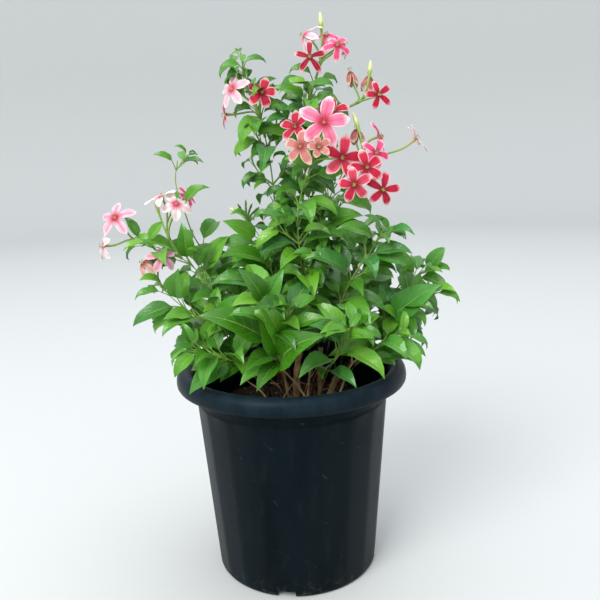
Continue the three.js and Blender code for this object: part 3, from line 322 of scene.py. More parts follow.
def framed(points):
    """A line's stations: each point with its tangent, two sides of its section and its run from the foot."""
    stations = []
    side = None
    run = 0.0
    for i, here in enumerate(points):
        tangent = unit(points[min(i + 1, len(points) - 1)] - points[max(i - 1, 0)])
        if side is None:
            side = point((1, 0, 0)) if abs(tangent[0]) < 0.9 else point((0, 1, 0))
        side = unit(side - tangent * side.dot(tangent))
        if i:
            run += np.linalg.norm(here - points[i - 1])
        stations.append(SimpleNamespace(
            point=here, tangent=tangent, side=side, other=np.cross(tangent, side), run=run))
    return stations


def along(stations, share):
    """The station at a share of a line's length, between its own."""
    run = share * stations[-1].run
    i = 1
    while i < len(stations) - 1 and stations[i].run < run:
        i += 1
    a, b = stations[i - 1], stations[i]
    t = (run - a.run) / (b.run - a.run)
    tangent = unit(a.tangent + (b.tangent - a.tangent) * t)
    side = a.side + (b.side - a.side) * t
    side = unit(side - tangent * side.dot(tangent))
    return SimpleNamespace(
        point=a.point + (b.point - a.point) * t, tangent=tangent, side=side, other=np.cross(tangent, side),
        run=run)


def outward(at, angle):
    """The way out of a station or a bloom at an angle round it."""
    return math.cos(angle) * at.side + math.sin(angle) * at.other


def moved(k, step):
    """How far something stands from its first place in its turn k, away from the front or towards it."""
    return math.ceil(k / 2) * step * (1 if k % 2 else -1)


def corners_of(node):
    """The corners of a node's solid, in millimetres, to find places in."""
    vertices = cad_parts[node].data.vertices
    tree = kdtree.KDTree(len(vertices))
    for i, vertex in enumerate(vertices):
        tree.insert(vertex.co / MM, i)
    tree.balance()
    return tree


def first_on(tree, turns, made, mark):
    """The first of the turns whose mark is a corner of the solid, or None."""
    for k in range(turns):
        thing = made(k)
        if tree.find(mark(thing))[2] < NEAR:
            return thing
    return None


def midrib(leaf, share):
    """The point and the upward normal of a blade's midrib at a share of its length."""
    bend = max(leaf.droop, 1e-4)
    foot = leaf.base + leaf.dir * leaf.petiole
    here = foot + (leaf.length / bend) * (
        leaf.dir * np.sin(bend * share) - leaf.up * (1 - np.cos(bend * share)))
    return here, leaf.up * np.cos(bend * share) + leaf.dir * np.sin(bend * share)


def leaf_in_pair(shoot, n, at, azimuth, size, k):
    """Leaf number n of a shoot in its turn k: how it turns round its stem, lifts and stays smaller."""
    s = shoot.number
    way = 0.85 * outward(at, azimuth + math.radians(moved(k % ROUND, PAIR_STEP))) + 0.5 * at.tangent
    way[2] += ROUND_LIFTS[k // ROUND] + shoot.rise + 0.3 * (draw(s, n) - 0.5)
    way[2] = min(max(way[2], -0.35), 0.75)
    way = unit(way)
    up = unit(LIGHT - way * way.dot(LIGHT))
    roll = 0.5 * (draw(s, n + 500) - 0.5)
    length = shoot.leaf * size * ROUND_SIZES[k // ROUND] * (0.86 + 0.3 * draw(s, n + 100))
    return SimpleNamespace(
        root=at.root, base=at.point, dir=way, up=up * math.cos(roll) + np.cross(way, up) * math.sin(roll),
        length=length, width=length * (0.46 + 0.08 * draw(s, n + 200)),
        droop=math.radians(shoot.droop * (0.7 + 0.6 * draw(s, n + 300))),
        fold=math.radians(10 + 14 * draw(s, n + 400)), petiole=4 + 0.1 * length, shown=False, size=size)


def leaf_shown(leaf, n, at, k):
    """One of the leaves that show best, from the place of its tip, in its turn k."""
    _, _, tip, bend, looks = leaf
    chord = point(tip) + point((0, moved(k, TIP_STEP), 0)) - at.point
    reach = np.linalg.norm(chord)
    chord = chord / reach
    half = 0.5 * math.radians(bend)
    above = unit(point(looks))
    above = unit(above - chord * above.dot(chord))
    petiole = 4 + 0.08 * reach
    length = (reach - petiole * math.cos(half)) * half / math.sin(half)
    return SimpleNamespace(
        root=at.root, base=at.point, dir=chord * math.cos(half) + above * math.sin(half),
        up=above * math.cos(half) - chord * math.sin(half), length=length,
        width=length * (0.45 + 0.07 * draw(n, 900)), droop=2 * half,
        fold=math.radians(10 + 8 * draw(n, 901)), petiole=petiole, shown=True, size=1)


def pair_turn(n):
    """How far leaf number n of a stem is turned round it: opposite in a pair, and crosswise to the last."""
    return 90 * (n // 2 % 2) + 180 * (n % 2)


def leaf_place(stations, share):
    """Where a leaf grows: its place on the stem, and the root of its stalk a little below."""
    at = along(stations, share)
    at.root = along(stations, share - STALK_SLANT / stations[-1].run).point
    return at


def grow_leaves(shoot):
    """The leaves of a shoot that its solid has, in the turns that its solid has them."""
    tree = corners_of("shoot_" + shoot.name)
    tip = lambda leaf: midrib(leaf, 1)[0]
    leaves = []
    for n, leaf in enumerate(LEAVES):
        if leaf[0] == shoot.name:
            at = leaf_place(shoot.stations, leaf[1])
            leaves.append(first_on(tree, MOVES, lambda k: leaf_shown(leaf, n, at, k), tip))
    for n in range(2 * shoot.pairs):
        at = leaf_place(shoot.stations, shoot.leafy + shoot.apart * (n // 2))
        azimuth = math.radians(shoot.turn + pair_turn(n))
        rank = shoot.pairs - 1 - n // 2
        size = YOUNG_SIZES[rank] if rank < len(YOUNG_SIZES) else 1
        grown = lambda k: leaf_in_pair(shoot, n, at, azimuth, size, k)
        leaves.append(first_on(tree, LEAF_TURNS, grown, tip))
    return [leaf for leaf in leaves if leaf]


def bloom_at(bloom, number, k):
    """A bloom in its turn k, with two sides of the way that it faces."""
    at, face, petal, wide, opening, tone = bloom
    face = unit(point(face))
    side = unit(np.cross(point((1, 0.2, 0.1)), face))
    return SimpleNamespace(
        mouth=point(at) + point((0, moved(k, BLOOM_STEP), 0)), face=face, side=side,
        other=np.cross(face, side), roll=2 * math.pi * draw(number, 77), petal=petal, wide=wide,
        open=math.radians(opening), tone=tone, number=number, name=f"bloom_{number + 1:02d}")


def grow_cluster(cluster, shoot, first):
    """A cluster's stalk, tubes, blooms and buds, with its blooms numbered from first."""
    _, share, neck, blooms, buds = cluster
    fork = along(shoot.stations, share)
    stalk = framed([fork.point, point(neck)])
    start = stalk[1].point - 0.8 * stalk[1].tangent
    tree = corners_of("shoot_" + shoot.name)
    grown = SimpleNamespace(
        shoot=shoot.name, stalk=stalk, start=start, lift=stalk[1].tangent, blooms=[], buds=[])
    for tip, fat in buds:
        bud = lambda k: point(tip) + point((0, moved(k, BLOOM_STEP), 0))
        found = first_on(tree, MOVES, bud, lambda place: place)
        if found is not None:
            grown.buds.append((found, fat))
    for n, bloom in enumerate(blooms, first):
        corners = corners_of(f"bloom_{n + 1:02d}")
        middle = lambda made: made.mouth + made.face * (CAD_PETAL_THICKNESS / 2)
        found = first_on(corners, MOVES, lambda k: bloom_at(bloom, n, k), middle)
        if found is not None:
            grown.blooms.append(found)
    return grown


@functools.cache
def plant():
    """Every shoot with its stations and leaves, and every cluster."""
    shoots = {}
    for number, (name, (way, *rest)) in enumerate(SHOOTS.items()):
        foot = next(at for at, names in FEET if name in names)
        root = point((*foot, soil_height(*foot) + 3))
        shoot = SimpleNamespace(name=name, number=number, **dict(zip(TRAITS, rest)))
        shoot.apart = (LAST_PAIR - shoot.leafy) / (shoot.pairs - 1)
        shoot.corners = [root, *map(point, way)]
        shoot.stations = framed(smooth_line(shoot.corners, 2))
        shoot.leaves = grow_leaves(shoot)
        shoots[name] = shoot
    clusters = []
    count = 0
    for cluster in CLUSTERS:
        clusters.append(grow_cluster(cluster, shoots[cluster[0]], count))
        count += len(cluster[3])
    return SimpleNamespace(shoots=shoots, clusters=clusters)


# What a user may change

def shade(name, hex_code, description):
    """A colour setting, with an sRGB hex value as its default."""
    return FloatVectorProperty(
        name=name, description=description, size=4, min=0, max=1, subtype="COLOR", default=linear(hex_code))


def measure(name, millimetres, description):
    """A length setting."""
    return FloatProperty(name=name, description=description, default=millimetres * MM, min=0, unit="LENGTH")


class PotSettings(PropertyGroup):
    """The nursery pot"""
    facet_depth: measure("Facet depth", 0.7, "How far the middle of a flat lies inside the round wall")
    notch_rounding: measure("Notch rounding", 1.2, "Radius of a foot notch's corners")
    black: shade("Black", "03080b", "Deepest shade of the plastic")
    blue: shade("Blue-black", "051016", "Common shade of the plastic")
    olive: shade("Olive", "0d1212", "Shade where a film of dirt has dried on")
    worn: shade("Worn", "17242c", "Paler, rubbed shade of the rim")
    dust: shade("Dust", "6d6a5e", "Dried dirt and dust")
    scuff: shade("Scuff", "7d8583", "Fresh scratches")


class SoilSettings(PropertyGroup):
    """The potting mix and what lies on it"""
    lump_height: measure("Lump height", 1.8, "How far clods stand out of the soil")
    crumbs: IntProperty(name="Crumbs", description="Number of loose crumbs and chips", default=420, min=0)
    straws: IntProperty(name="Straws", description="Number of dry straws on the soil", default=26, min=0)
    dark: shade("Dark", "0f0c0a", "Damp peat")
    brown: shade("Brown", "291c14", "Drier peat")
    rust: shade("Rust", "553420", "Bark fibre")
    chip: shade("Chip", "8f7050", "Weathered bark chip")
    straw: shade("Straw", "b39a6c", "Dry straw")


class WoodSettings(PropertyGroup):
    """The woody stems"""
    knobs: FloatProperty(
        name="Knobs", description="How much a node swells", default=0.28, min=0, subtype="FACTOR")
    slimness: FloatProperty(
        name="Slimness", description="Thickness of the stems as a share of their solids'",
        default=0.48, min=0.1, subtype="FACTOR")
    twigs: IntProperty(name="Twigs", description="Number of thin twigs between the stems", default=12, min=0)
    pale: shade("Pale", "cfa87e", "Flaking bark")
    mid: shade("Mid", "92704c", "Common shade of the bark")
    dark: shade("Dark", "33261b", "Cracks between flakes")


class LeafSettings(PropertyGroup):
    """The leaves and green stems"""
    thickness: measure("Blade thickness", 0.35, "Thickness of a leaf blade")
    wave: FloatProperty(
        name="Wave", description="Edge wave as a share of a leaf's length", default=0.022, min=0)
    hook: FloatProperty(
        name="Hook", description="How far a tip hooks down, as a share of the length", default=0.12)
    deep: shade("Deep", "265e06", "Oldest and most shaded leaves")
    green: shade("Green", "4d9812", "Full-grown leaves")
    bright: shade("Bright", "72b626", "Leaves in full light")
    young: shade("Young", "93c43a", "Leaves that are still opening")
    cool: shade("Cool", "3f9a5a", "Leaves with a bluish bloom")
    rib: shade("Midrib", "a9cf6a", "Midrib and side veins")
    back: shade("Underside", "6fa64a", "Duller underside")
    glow: shade("Glow", "86cc1c", "Light that comes through a blade")
    stalk: shade("Stalk", "84a93e", "Young stems and leaf stalks")
    stem: shade("Stem", "67883a", "Older green stems")


class BloomSettings(PropertyGroup):
    """The blooms and buds"""
    thickness: measure("Petal thickness", 0.3, "Thickness of a petal")
    stamens: IntProperty(name="Stamens", description="Stamens in a bloom", default=7, min=0)
    pink: shade("Pink", "ec4282", "Body of a pink petal")
    crimson: shade("Crimson", "cf1a42", "Body of a crimson petal")
    pale: shade("Pale", "f2a8c4", "Body of a pale petal")
    faded: shade("Faded", "cf8078", "Body of a fading petal")
    tube: shade("Tube", "83a448", "Tubes behind the blooms")
    cream: shade("Bud", "c3cb86", "Heads of the buds")


class StageSettings(PropertyGroup):
    """The floor, light and camera"""
    floor: shade("Floor", "c1c3c3", "Plain matt floor and the wall that it curves up into")
    light: FloatProperty(name="Light", description="Strength of all lights", default=1.0, min=0)


# Modelling helpers

def deselect():
    """Leaves edit mode, with nothing selected."""
    if bpy.context.object and bpy.context.object.mode != "OBJECT":
        bpy.ops.object.mode_set(mode="OBJECT")
    bpy.ops.object.select_all(action="DESELECT")


def only(thing):
    """Makes an object the one that operators act on."""
    deselect()
    thing.select_set(True)
    bpy.context.view_layer.objects.active = thing


def edit_all():
    """Enters edit mode with everything selected."""
    bpy.ops.object.mode_set(mode="EDIT")
    bpy.ops.mesh.select_all(action="SELECT")


def round_off(thing, sharp):
    """Shades an object smooth, except where it turns by more than an angle in degrees."""
    only(thing)
    bpy.ops.object.shade_smooth_by_angle(angle=math.radians(sharp))


def select_where(thing, wanted):
    """In edit mode, selects the vertices whose places pass a test."""
    bpy.ops.object.mode_set(mode="OBJECT")
    for item in (*thing.data.vertices, *thing.data.edges, *thing.data.polygons):
        item.select = False
    for vertex in thing.data.vertices:
        vertex.select = wanted(vertex.co)
    bpy.ops.object.mode_set(mode="EDIT")
    bpy.ops.mesh.select_mode(type="VERT")


def apply_modifier(thing, name, kind, **settings):
    """Gives an object a modifier and makes it part of its mesh."""
    modifier = thing.modifiers.new(name, kind)
    for key, value in settings.items():
        setattr(modifier, key, value)
    only(thing)
    bpy.ops.object.modifier_apply(modifier=modifier.name)


def drawn(name, rows, sides, turn=0.0):
    """A round sheet drawn through rows of radius and height, in edit mode with its last ring selected."""
    deselect()
    bpy.ops.mesh.primitive_circle_add(
        vertices=sides, radius=rows[0][0] * MM, fill_type="NOTHING", location=(0, 0, rows[0][1] * MM),
        rotation=(0, 0, turn))
    body = bpy.context.object
    body.name = body.data.name = name
    bpy.ops.object.transform_apply(location=True, rotation=True)
    edit_all()
    for (before, low), (after, high) in zip(rows, rows[1:]):
        bpy.ops.mesh.extrude_region_move(TRANSFORM_OT_translate={"value": (0, 0, (high - low) * MM)})
        bpy.ops.transform.resize(value=(after / before, after / before, 1))
    return body


def turned(name, rows, sides, turn=0.0):
    """A closed round body drawn through rows of radius and height, with a flat fill at both ends."""
    body = drawn(name, rows, sides, turn)
    bpy.ops.mesh.select_all(action="SELECT")
    bpy.ops.mesh.fill_holes(sides=0)
    bpy.ops.mesh.select_all(action="SELECT")
    bpy.ops.mesh.normals_make_consistent(inside=False)
    bpy.ops.object.mode_set(mode="OBJECT")
    return body


def read_shape(thing, placed):
    """The places, faces and UVs of a modelled shape, to copy it from."""
    mesh = thing.data
    uvs = np.zeros(2 * len(mesh.loops))
    if mesh.uv_layers.active:
        mesh.uv_layers.active.uv.foreach_get("vector", uvs)
    shape = SimpleNamespace(
        places=np.array([placed(vertex.co) for vertex in mesh.vertices]),
        faces=[tuple(face.vertices) for face in mesh.polygons], uvs=uvs.reshape(-1, 2))
    bpy.data.objects.remove(thing)
    return shape


def model_blade(steps, across, outline):
    """A flat blade that is 1 long, 1 thick and 1 to each side, drawn in to its outline row by row."""
    deselect()
    bpy.ops.mesh.primitive_grid_add(x_subdivisions=steps, y_subdivisions=across, size=1)
    blade = bpy.context.object
    bpy.ops.object.mode_set(mode="EDIT")
    for row in range(steps + 1):
        x = row / steps - 0.5
        select_where(blade, lambda place: abs(place.x - x) < 0.2 / steps)
        bpy.ops.transform.resize(value=(1, 2 * outline(row / steps), 1))
    bpy.ops.mesh.select_all(action="SELECT")
    bpy.ops.mesh.remove_doubles(threshold=1e-4)
    bpy.ops.object.mode_set(mode="OBJECT")
    apply_modifier(blade, "thickness", "SOLIDIFY", thickness=1, offset=0)
    return read_shape(blade, lambda place: (place.x + 0.5, place.y, place.z))


def model_crumb():
    """A rough lump with a radius of 1."""
    deselect()
    bpy.ops.mesh.primitive_ico_sphere_add(subdivisions=1, radius=1)
    lump = bpy.context.object
    bpy.ops.object.mode_set(mode="EDIT")
    select_where(lump, lambda place: place.z > 0.3)
    bpy.ops.transform.resize(value=(0.75, 1.1, 0.6))
    bpy.ops.object.mode_set(mode="OBJECT")
    return read_shape(lump, tuple)


def leaf_outline(t):
    """The half width of a leaf at a share of its length: round at the foot and drawn out at the tip."""
    return (t / 0.366) ** 0.64 * ((1 - t) / 0.634) ** 1.11


def petal_outline(t):
    """The half width of a petal: a narrow foot, widest past its middle, with a broad blunt tip."""
    return np.interp(t, (0, 0.17, 0.33, 0.5, 0.67, 0.83, 1), (0.26, 0.62, 0.87, 1, 1, 0.9, 0.56))


class Sheaf:
    """Many small shapes that are gathered into one mesh, with marks at their corners for the material."""

    def __init__(self, *marks):
        self.places, self.faces, self.uvs, self.slots = [], [], [], []
        self.marks = {mark: [] for mark in marks}
        self.count = 0

    def add(self, shape, places, slot=0, **marks):
        """Adds a shape's faces over new places, with a value or a row of values for each mark."""
        self.places.append(places)
        self.faces += [tuple(i + self.count for i in face) for face in shape.faces]
        self.uvs.append(shape.uvs)
        self.slots += [slot] * len(shape.faces)
        for mark, values in self.marks.items():
            values.append(np.broadcast_to(marks.get(mark, 0.0), len(places)))
        self.count += len(places)

    def made(self, name, *materials, sharp=50):
        """The gathered mesh's object, with its edges crisp where they turn by more than an angle."""
        mesh = bpy.data.meshes.new(name)
        mesh.from_pydata(np.concatenate(self.places) * MM, [], self.faces)
        mesh.uv_layers.new(name="UVMap").uv.foreach_set("vector", np.concatenate(self.uvs).ravel())
        for mark, values in self.marks.items():
            mesh.attributes.new(mark, "FLOAT", "POINT").data.foreach_set("value", np.concatenate(values))
        for material in materials:
            mesh.materials.append(material)
        mesh.polygons.foreach_set("material_index", self.slots)
        thing = bpy.data.objects.new(name, mesh)
        bpy.context.scene.collection.objects.link(thing)
        round_off(thing, sharp)
        return thing


def tube(stations, radii, sides):
    """A closed round tube along stations, with the share of its length at each corner."""
    turns = [2 * math.pi * k / sides for k in range(sides)]
    places = np.array([
        at.point + radius * outward(at, turn)
        for at, radius in zip(stations, radii) for turn in turns])
    rings = len(stations)
    faces, uvs = [], []
    for i in range(rings - 1):
        for k in range(sides):
            after = (k + 1) % sides
            faces.append((i * sides + k, i * sides + after, (i + 1) * sides + after, (i + 1) * sides + k))
            low, high = i / (rings - 1), (i + 1) / (rings - 1)
            uvs += [(low, k / sides), (low, (k + 1) / sides), (high, (k + 1) / sides), (high, k / sides)]
    faces += [tuple(reversed(range(sides))), tuple((rings - 1) * sides + k for k in range(sides))]
    uvs += [(0, 0)] * sides + [(1, 0)] * sides
    runs = np.repeat([at.run / stations[-1].run for at in stations], sides)
    return SimpleNamespace(faces=faces, uvs=np.array(uvs), places=places, runs=runs)


def keep(thing, slot, *nodes):
    """Declares a finished piece: what it rides on, its finish and the solids that it stands for."""
    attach(thing, "root")
    if nodes:
        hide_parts(*nodes)


# Materials

# What a kind of node is set to, and the output that it gives, where a call doesn't say: a Math node
# multiplies and a Mix node mixes colours.
USUAL_SETTINGS = {"Math": {"operation": "MULTIPLY"}, "Mix": {"data_type": "RGBA"}}
USUAL_OUTPUTS = {"Mix": 2, "Attribute": "Fac"}


def add_node(tree, kind, inputs=None, out=None, stops=(), **settings):
    """Adds a shader node with its settings and its inputs' values or links, and returns an output."""
    node = tree.nodes.new("ShaderNode" + kind)
    for key, value in {**USUAL_SETTINGS.get(kind, {}), **settings}.items():
        setattr(node, key, value)
    for key, value in (inputs or {}).items():
        if isinstance(value, bpy.types.NodeSocket):
            tree.links.new(value, node.inputs[key])
        else:
            node.inputs[key].default_value = value
    for _ in stops[2:]:
        node.color_ramp.elements.new(0.5)
    for n, (place, colour) in enumerate(stops):
        stop = node.color_ramp.elements[n]
        stop.position = place
        stop.color = (colour, colour, colour, 1) if isinstance(colour, (int, float)) else colour
    if out is None:
        out = USUAL_OUTPUTS.get(kind, 0)
    return node.outputs[out] if node.outputs else None


def new_material(name):
    """An empty node material, and the function that adds nodes to it."""
    material = bpy.data.materials.new(name)
    material.use_nodes = True
    material.node_tree.nodes.clear()
    return material, functools.partial(add_node, material.node_tree)


def leaf_material(look):
    """Living leaf blade: bright green tissue under a waxy satin skin that light comes through, with a pale
    midrib, side veins that arch forward, and a paler, duller underside."""
    material, add = new_material("living_leaf_blade")
    places = add("TexCoord", out="Object")
    uv = add("SeparateXYZ", {0: add("UVMap", uv_map="UVMap")}).node.outputs
    run, across = uv["X"], uv["Y"]
    across = add("Math", {0: across, 1: 2.0, 2: -1.0}, operation="MULTIPLY_ADD")
    out = add("Math", {0: across}, operation="ABSOLUTE")
    # The midrib narrows towards the tip, and the side veins leave it at a slant and bend forward.
    rib_width = add("Math", {0: run, 1: -0.035, 2: 0.065}, operation="MULTIPLY_ADD")
    rib = add("ValToRGB", {0: add("Math", {0: out, 1: rib_width}, operation="DIVIDE")},
              stops=((0.45, 1.0), (1.0, 0.0)))
    slant = add("Math", {0: add("Math", {0: out, 1: 1.35}, operation="POWER"), 1: 0.3})
    cycle = add("Math", {0: run, 1: slant}, operation="SUBTRACT")
    cycle = add("Math", {0: cycle, 1: 7.0})
    cycle = add("Math", {0: add("Math", {0: cycle}, operation="FRACT"), 1: 0.5}, operation="SUBTRACT")
    vein = add("ValToRGB", {0: add("Math", {0: cycle}, operation="ABSOLUTE")},
               stops=((0.0, 1.0), (0.025, 0.8), (0.07, 0.0)))
    blotch = add("TexNoise", {"Vector": places, "Scale": 1 / (16 * MM), "Detail": 3.0})
    tone = add("Math", {0: blotch, 1: 0.36, 2: add("Attribute", attribute_name="tone")},
               operation="MULTIPLY_ADD")
    tone = add("Math", {0: tone, 1: 0.18}, operation="SUBTRACT")
    skin = add("ValToRGB", {0: tone}, stops=(
        (0.0, look.deep), (0.42, look.green), (0.74, look.bright), (1.0, look.young)))
    cool = add("Attribute", attribute_name="cool")
    skin = add("Mix", {0: cool, 6: skin, 7: look.cool[:]})
    under = add("Attribute", attribute_name="under")
    skin = add("Mix", {0: add("Math", {0: vein, 1: 0.3}), 6: skin, 7: look.rib[:]})
    back = add("Mix", {0: add("Math", {0: vein, 1: 0.35}), 6: look.back[:], 7: look.rib[:]})
    colour = add("Mix", {0: add("Math", {0: under, 1: 0.65}), 6: skin, 7: back})
    colour = add("Mix", {0: add("Math", {0: rib, 1: 0.85}), 6: colour, 7: look.rib[:]})
    rough = add("Math", {0: under, 1: 0.22, 2: 0.3}, operation="MULTIPLY_ADD")
    rough = add("Math", {0: blotch, 1: 0.12, 2: rough}, operation="MULTIPLY_ADD")
    quilt = add("Math", {0: vein, 1: -0.5, 2: add("Math", {0: rib, 1: -1.2})}, operation="MULTIPLY_ADD")
    grain = add("TexNoise", {"Vector": places, "Scale": 1 / (2.2 * MM), "Detail": 2.0})
    quilt = add("Math", {0: grain, 1: 0.6, 2: quilt}, operation="MULTIPLY_ADD")
    normal = add("Bump", {"Height": quilt, "Distance": 0.8 * MM, "Strength": 0.8})
    waxy = add("BsdfPrincipled", {
        "Base Color": colour, "Roughness": rough, "IOR": 1.43, "Specular IOR Level": 0.9, "Coat Weight": 0.3,
        "Coat Roughness": 0.28, "Normal": normal})
    through = add("Mix", {0: 0.5, 6: colour, 7: look.glow[:]})
    through = add("BsdfTranslucent", {"Color": through, "Normal": normal})
    add("OutputMaterial", {"Surface": add("MixShader", {0: 0.3, 1: waxy, 2: through})})
    return material


def stem_material(look):
    """Young green stem and leaf stalk: smooth yellow-green skin that browns towards its woody foot."""
    material, add = new_material("young_green_stem")
    places = add("Mapping", {"Vector": add("TexCoord", out="Object"), "Scale": (1, 1, 0.3)})
    fleck = add("TexNoise", {"Vector": places, "Scale": 1 / (4 * MM), "Detail": 3.0})
    age = add("Math", {0: fleck, 1: 0.3, 2: add("Attribute", attribute_name="age")},
              operation="MULTIPLY_ADD")
    colour = add("ValToRGB", {0: age}, stops=(
        (0.1, look.stalk), (0.55, look.stem), (0.85, linear("7c6236")), (1.0, linear("8a6038"))))
    normal = add("Bump", {"Height": fleck, "Distance": 0.15 * MM, "Strength": 0.5})
    skin = add("BsdfPrincipled", {"Base Color": colour, "Roughness": 0.5, "IOR": 1.43, "Normal": normal})
    add("OutputMaterial", {"Surface": skin})
    return material


def bark_material(look, name, bleached):
    """Thin bark of a young woody stem: dry and fibrous, cracked lengthwise, with paler flakes."""
    material, add = new_material(name)
    places = add("TexCoord", out="Object")
    # Bark fibres are about 0.5 mm wide, and are drawn three times as coarse so that they show.
    fibres = add("Mapping", {"Vector": places, "Scale": (1, 1, 0.16)})
    grain = add("TexNoise", {"Vector": fibres, "Scale": 1 / (1.5 * MM), "Detail": 5.0, "Roughness": 0.65})
    patch = add("TexNoise", {"Vector": places, "Scale": 1 / (9 * MM), "Detail": 3.0})
    tone = add("Math", {0: grain, 1: 0.6, 2: add("Math", {0: patch, 1: 0.4})}, operation="MULTIPLY_ADD")
    shift = -0.1 if bleached else 0.0
    tone = add("Math", {0: add("Attribute", attribute_name="tone"), 1: 0.32, 2: tone},
               operation="MULTIPLY_ADD")
    tone = add("Math", {0: tone, 1: 0.22}, operation="SUBTRACT")
    colour = add("ValToRGB", {0: tone}, stops=(
        (0.36 + shift, look.dark), (0.5 + shift, look.mid), (0.64 + shift, look.pale)))
    normal = add("Bump", {"Height": grain, "Distance": 0.5 * MM, "Strength": 0.9})
    skin = add("BsdfPrincipled", {"Base Color": colour, "Roughness": 0.82, "IOR": 1.45, "Normal": normal})
    add("OutputMaterial", {"Surface": skin})
    return material


def tube_material(look):
    """Bloom tubes, sepals and buds: thin green skin, flushed at the mouth, with creamy bud heads."""
    material, add = new_material("bloom_tube_and_bud")
    places = add("TexCoord", out="Object")
    cloud = add("TexNoise", {"Vector": places, "Scale": 1 / (6 * MM)})
    run = add("Math", {0: cloud, 1: 0.16, 2: add("Attribute", attribute_name="age")},
              operation="MULTIPLY_ADD")
    stalk = add("ValToRGB", {0: run}, stops=(
        (0.0, linear("3f6423")), (0.2, linear("6f8f3a")), (0.7, look.tube), (1.0, linear("b79a6c"))))
    head = add("ValToRGB", {0: run}, stops=(
        (0.35, linear("7d9e42")), (0.8, look.tube), (0.9, look.cream), (1.0, linear("cfd39a"))))
    colour = add("Mix", {0: add("Attribute", attribute_name="tone"), 6: stalk, 7: head})
    normal = add("Bump", {"Height": add("TexNoise", {"Vector": places, "Scale": 1 / (1.5 * MM)}),
                          "Distance": 0.15 * MM, "Strength": 0.4})
    skin = add("BsdfPrincipled", {"Base Color": colour, "Roughness": 0.48, "IOR": 1.43, "Normal": normal})
    add("OutputMaterial", {"Surface": skin})
    return material


# The sRGB hex values of a petal's heart, margin and back, for each kind of bloom
PETAL_SHADES = {
    "pink": ("c41649", "fce0ea", "eaa4bc"),
    "crimson": ("960d24", "f8ccd2", "dc828e"),
    "pale": ("d8346c", "fcf4f0", "f2dcda"),
    "faded": ("a83843", "ecd4c2", "d8b09c"),
}


def petal_material(tone, body):
    """Thin velvety petal: a deep heart that fades into a pale margin, fine lengthwise veins, a paler back,
    and light that comes through."""
    material, add = new_material("velvet_petal_" + tone)
    heart, edge, back = map(linear, PETAL_SHADES[tone])
    places = add("TexCoord", out="Object")
    uv = add("SeparateXYZ", {0: add("UVMap", uv_map="UVMap")}).node.outputs
    run = uv["X"]
    own = add("Attribute", attribute_name="tone")
    across = add("Math", {0: uv["Y"], 1: 2.0, 2: -1.0}, operation="MULTIPLY_ADD")
    out = add("Math", {0: across}, operation="ABSOLUTE")
    cloud = add("TexNoise", {"Vector": places, "Scale": 1 / (5 * MM), "Detail": 3.0})
    # The veins are about 0.4 mm apart, and are drawn twice as far apart so that they show.
    lanes = add("CombineXYZ", {
        "X": add("Math", {0: run, 1: 1.4}),
        "Y": add("Math", {0: uv["Y"], 1: 16.0}),
        "Z": add("Math", {0: own, 1: 40.0})})
    streak = add("TexNoise", {"Vector": lanes, "Scale": 1.0, "Detail": 3.0})
    # The margin is pale where either a side or the tip is near, and frays along the veins.
    rim = add("Math", {0: out, 1: run}, operation="MAXIMUM")
    rim = add("Math", {0: streak, 1: 0.34, 2: rim}, operation="MULTIPLY_ADD")
    rim = add("ValToRGB", {0: add("Math", {0: rim, 1: 0.17}, operation="SUBTRACT")},
              stops=((0.74, 0.0), (0.95, 1.0)))
    # A washed bloom is paler than its kind, and one below nought is deeper.
    wash = add("Attribute", attribute_name="wash")
    colour = add("Mix", {0: add("Math", {0: wash, 1: 0.0}, operation="MAXIMUM"), 6: body, 7: edge})
    deeper = add("Math", {0: wash, 1: -1.0}, operation="MULTIPLY", use_clamp=True)
    colour = add("Mix", {0: deeper, 6: colour, 7: heart})
    line = add("ValToRGB", {0: add("Math", {0: streak, 1: 0.4, 2: out}, operation="MULTIPLY_ADD")},
               stops=((0.22, 0.55), (0.6, 0.0)))
    colour = add("Mix", {0: line, 6: colour, 7: body})
    colour = add("Mix", {0: rim, 6: colour, 7: edge})
    centre = add("ValToRGB", {0: add("Math", {0: streak, 1: 0.3, 2: run}, operation="MULTIPLY_ADD")},
                 stops=((0.22, 1.0), (0.55, 0.0)))
    colour = add("Mix", {0: centre, 6: colour, 7: heart})
    under = add("Attribute", attribute_name="under")
    under = add("Math", {0: under, 1: 0.75})
    colour = add("Mix", {0: under, 6: colour, 7: back})
    relief = add("Math", {0: cloud, 1: 0.6, 2: streak}, operation="MULTIPLY_ADD")
    normal = add("Bump", {"Height": relief, "Distance": 0.35 * MM, "Strength": 0.6})
    velvet = add("BsdfPrincipled", {"Base Color": colour, "Roughness": 0.6, "IOR": 1.42, "Normal": normal})
    through = add("BsdfTranslucent", {"Color": colour, "Normal": normal})
    add("OutputMaterial", {"Surface": add("MixShader", {0: 0.32, 1: velvet, 2: through})})
    return material


def stamen_material():
    """Stamens and the mouth of the tube: pale green threads with powdery yellow-brown heads."""
    material, add = new_material("stamen_and_throat")
    colour = add("ValToRGB", {0: add("Attribute", attribute_name="tone")}, stops=(
        (0.0, linear("7c8a3c")), (0.5, linear("cfcf94")), (0.8, linear("9a7a38"))))
    powder = add("BsdfPrincipled", {"Base Color": colour, "Roughness": 0.7, "IOR": 1.42})
    add("OutputMaterial", {"Surface": powder})
    return material


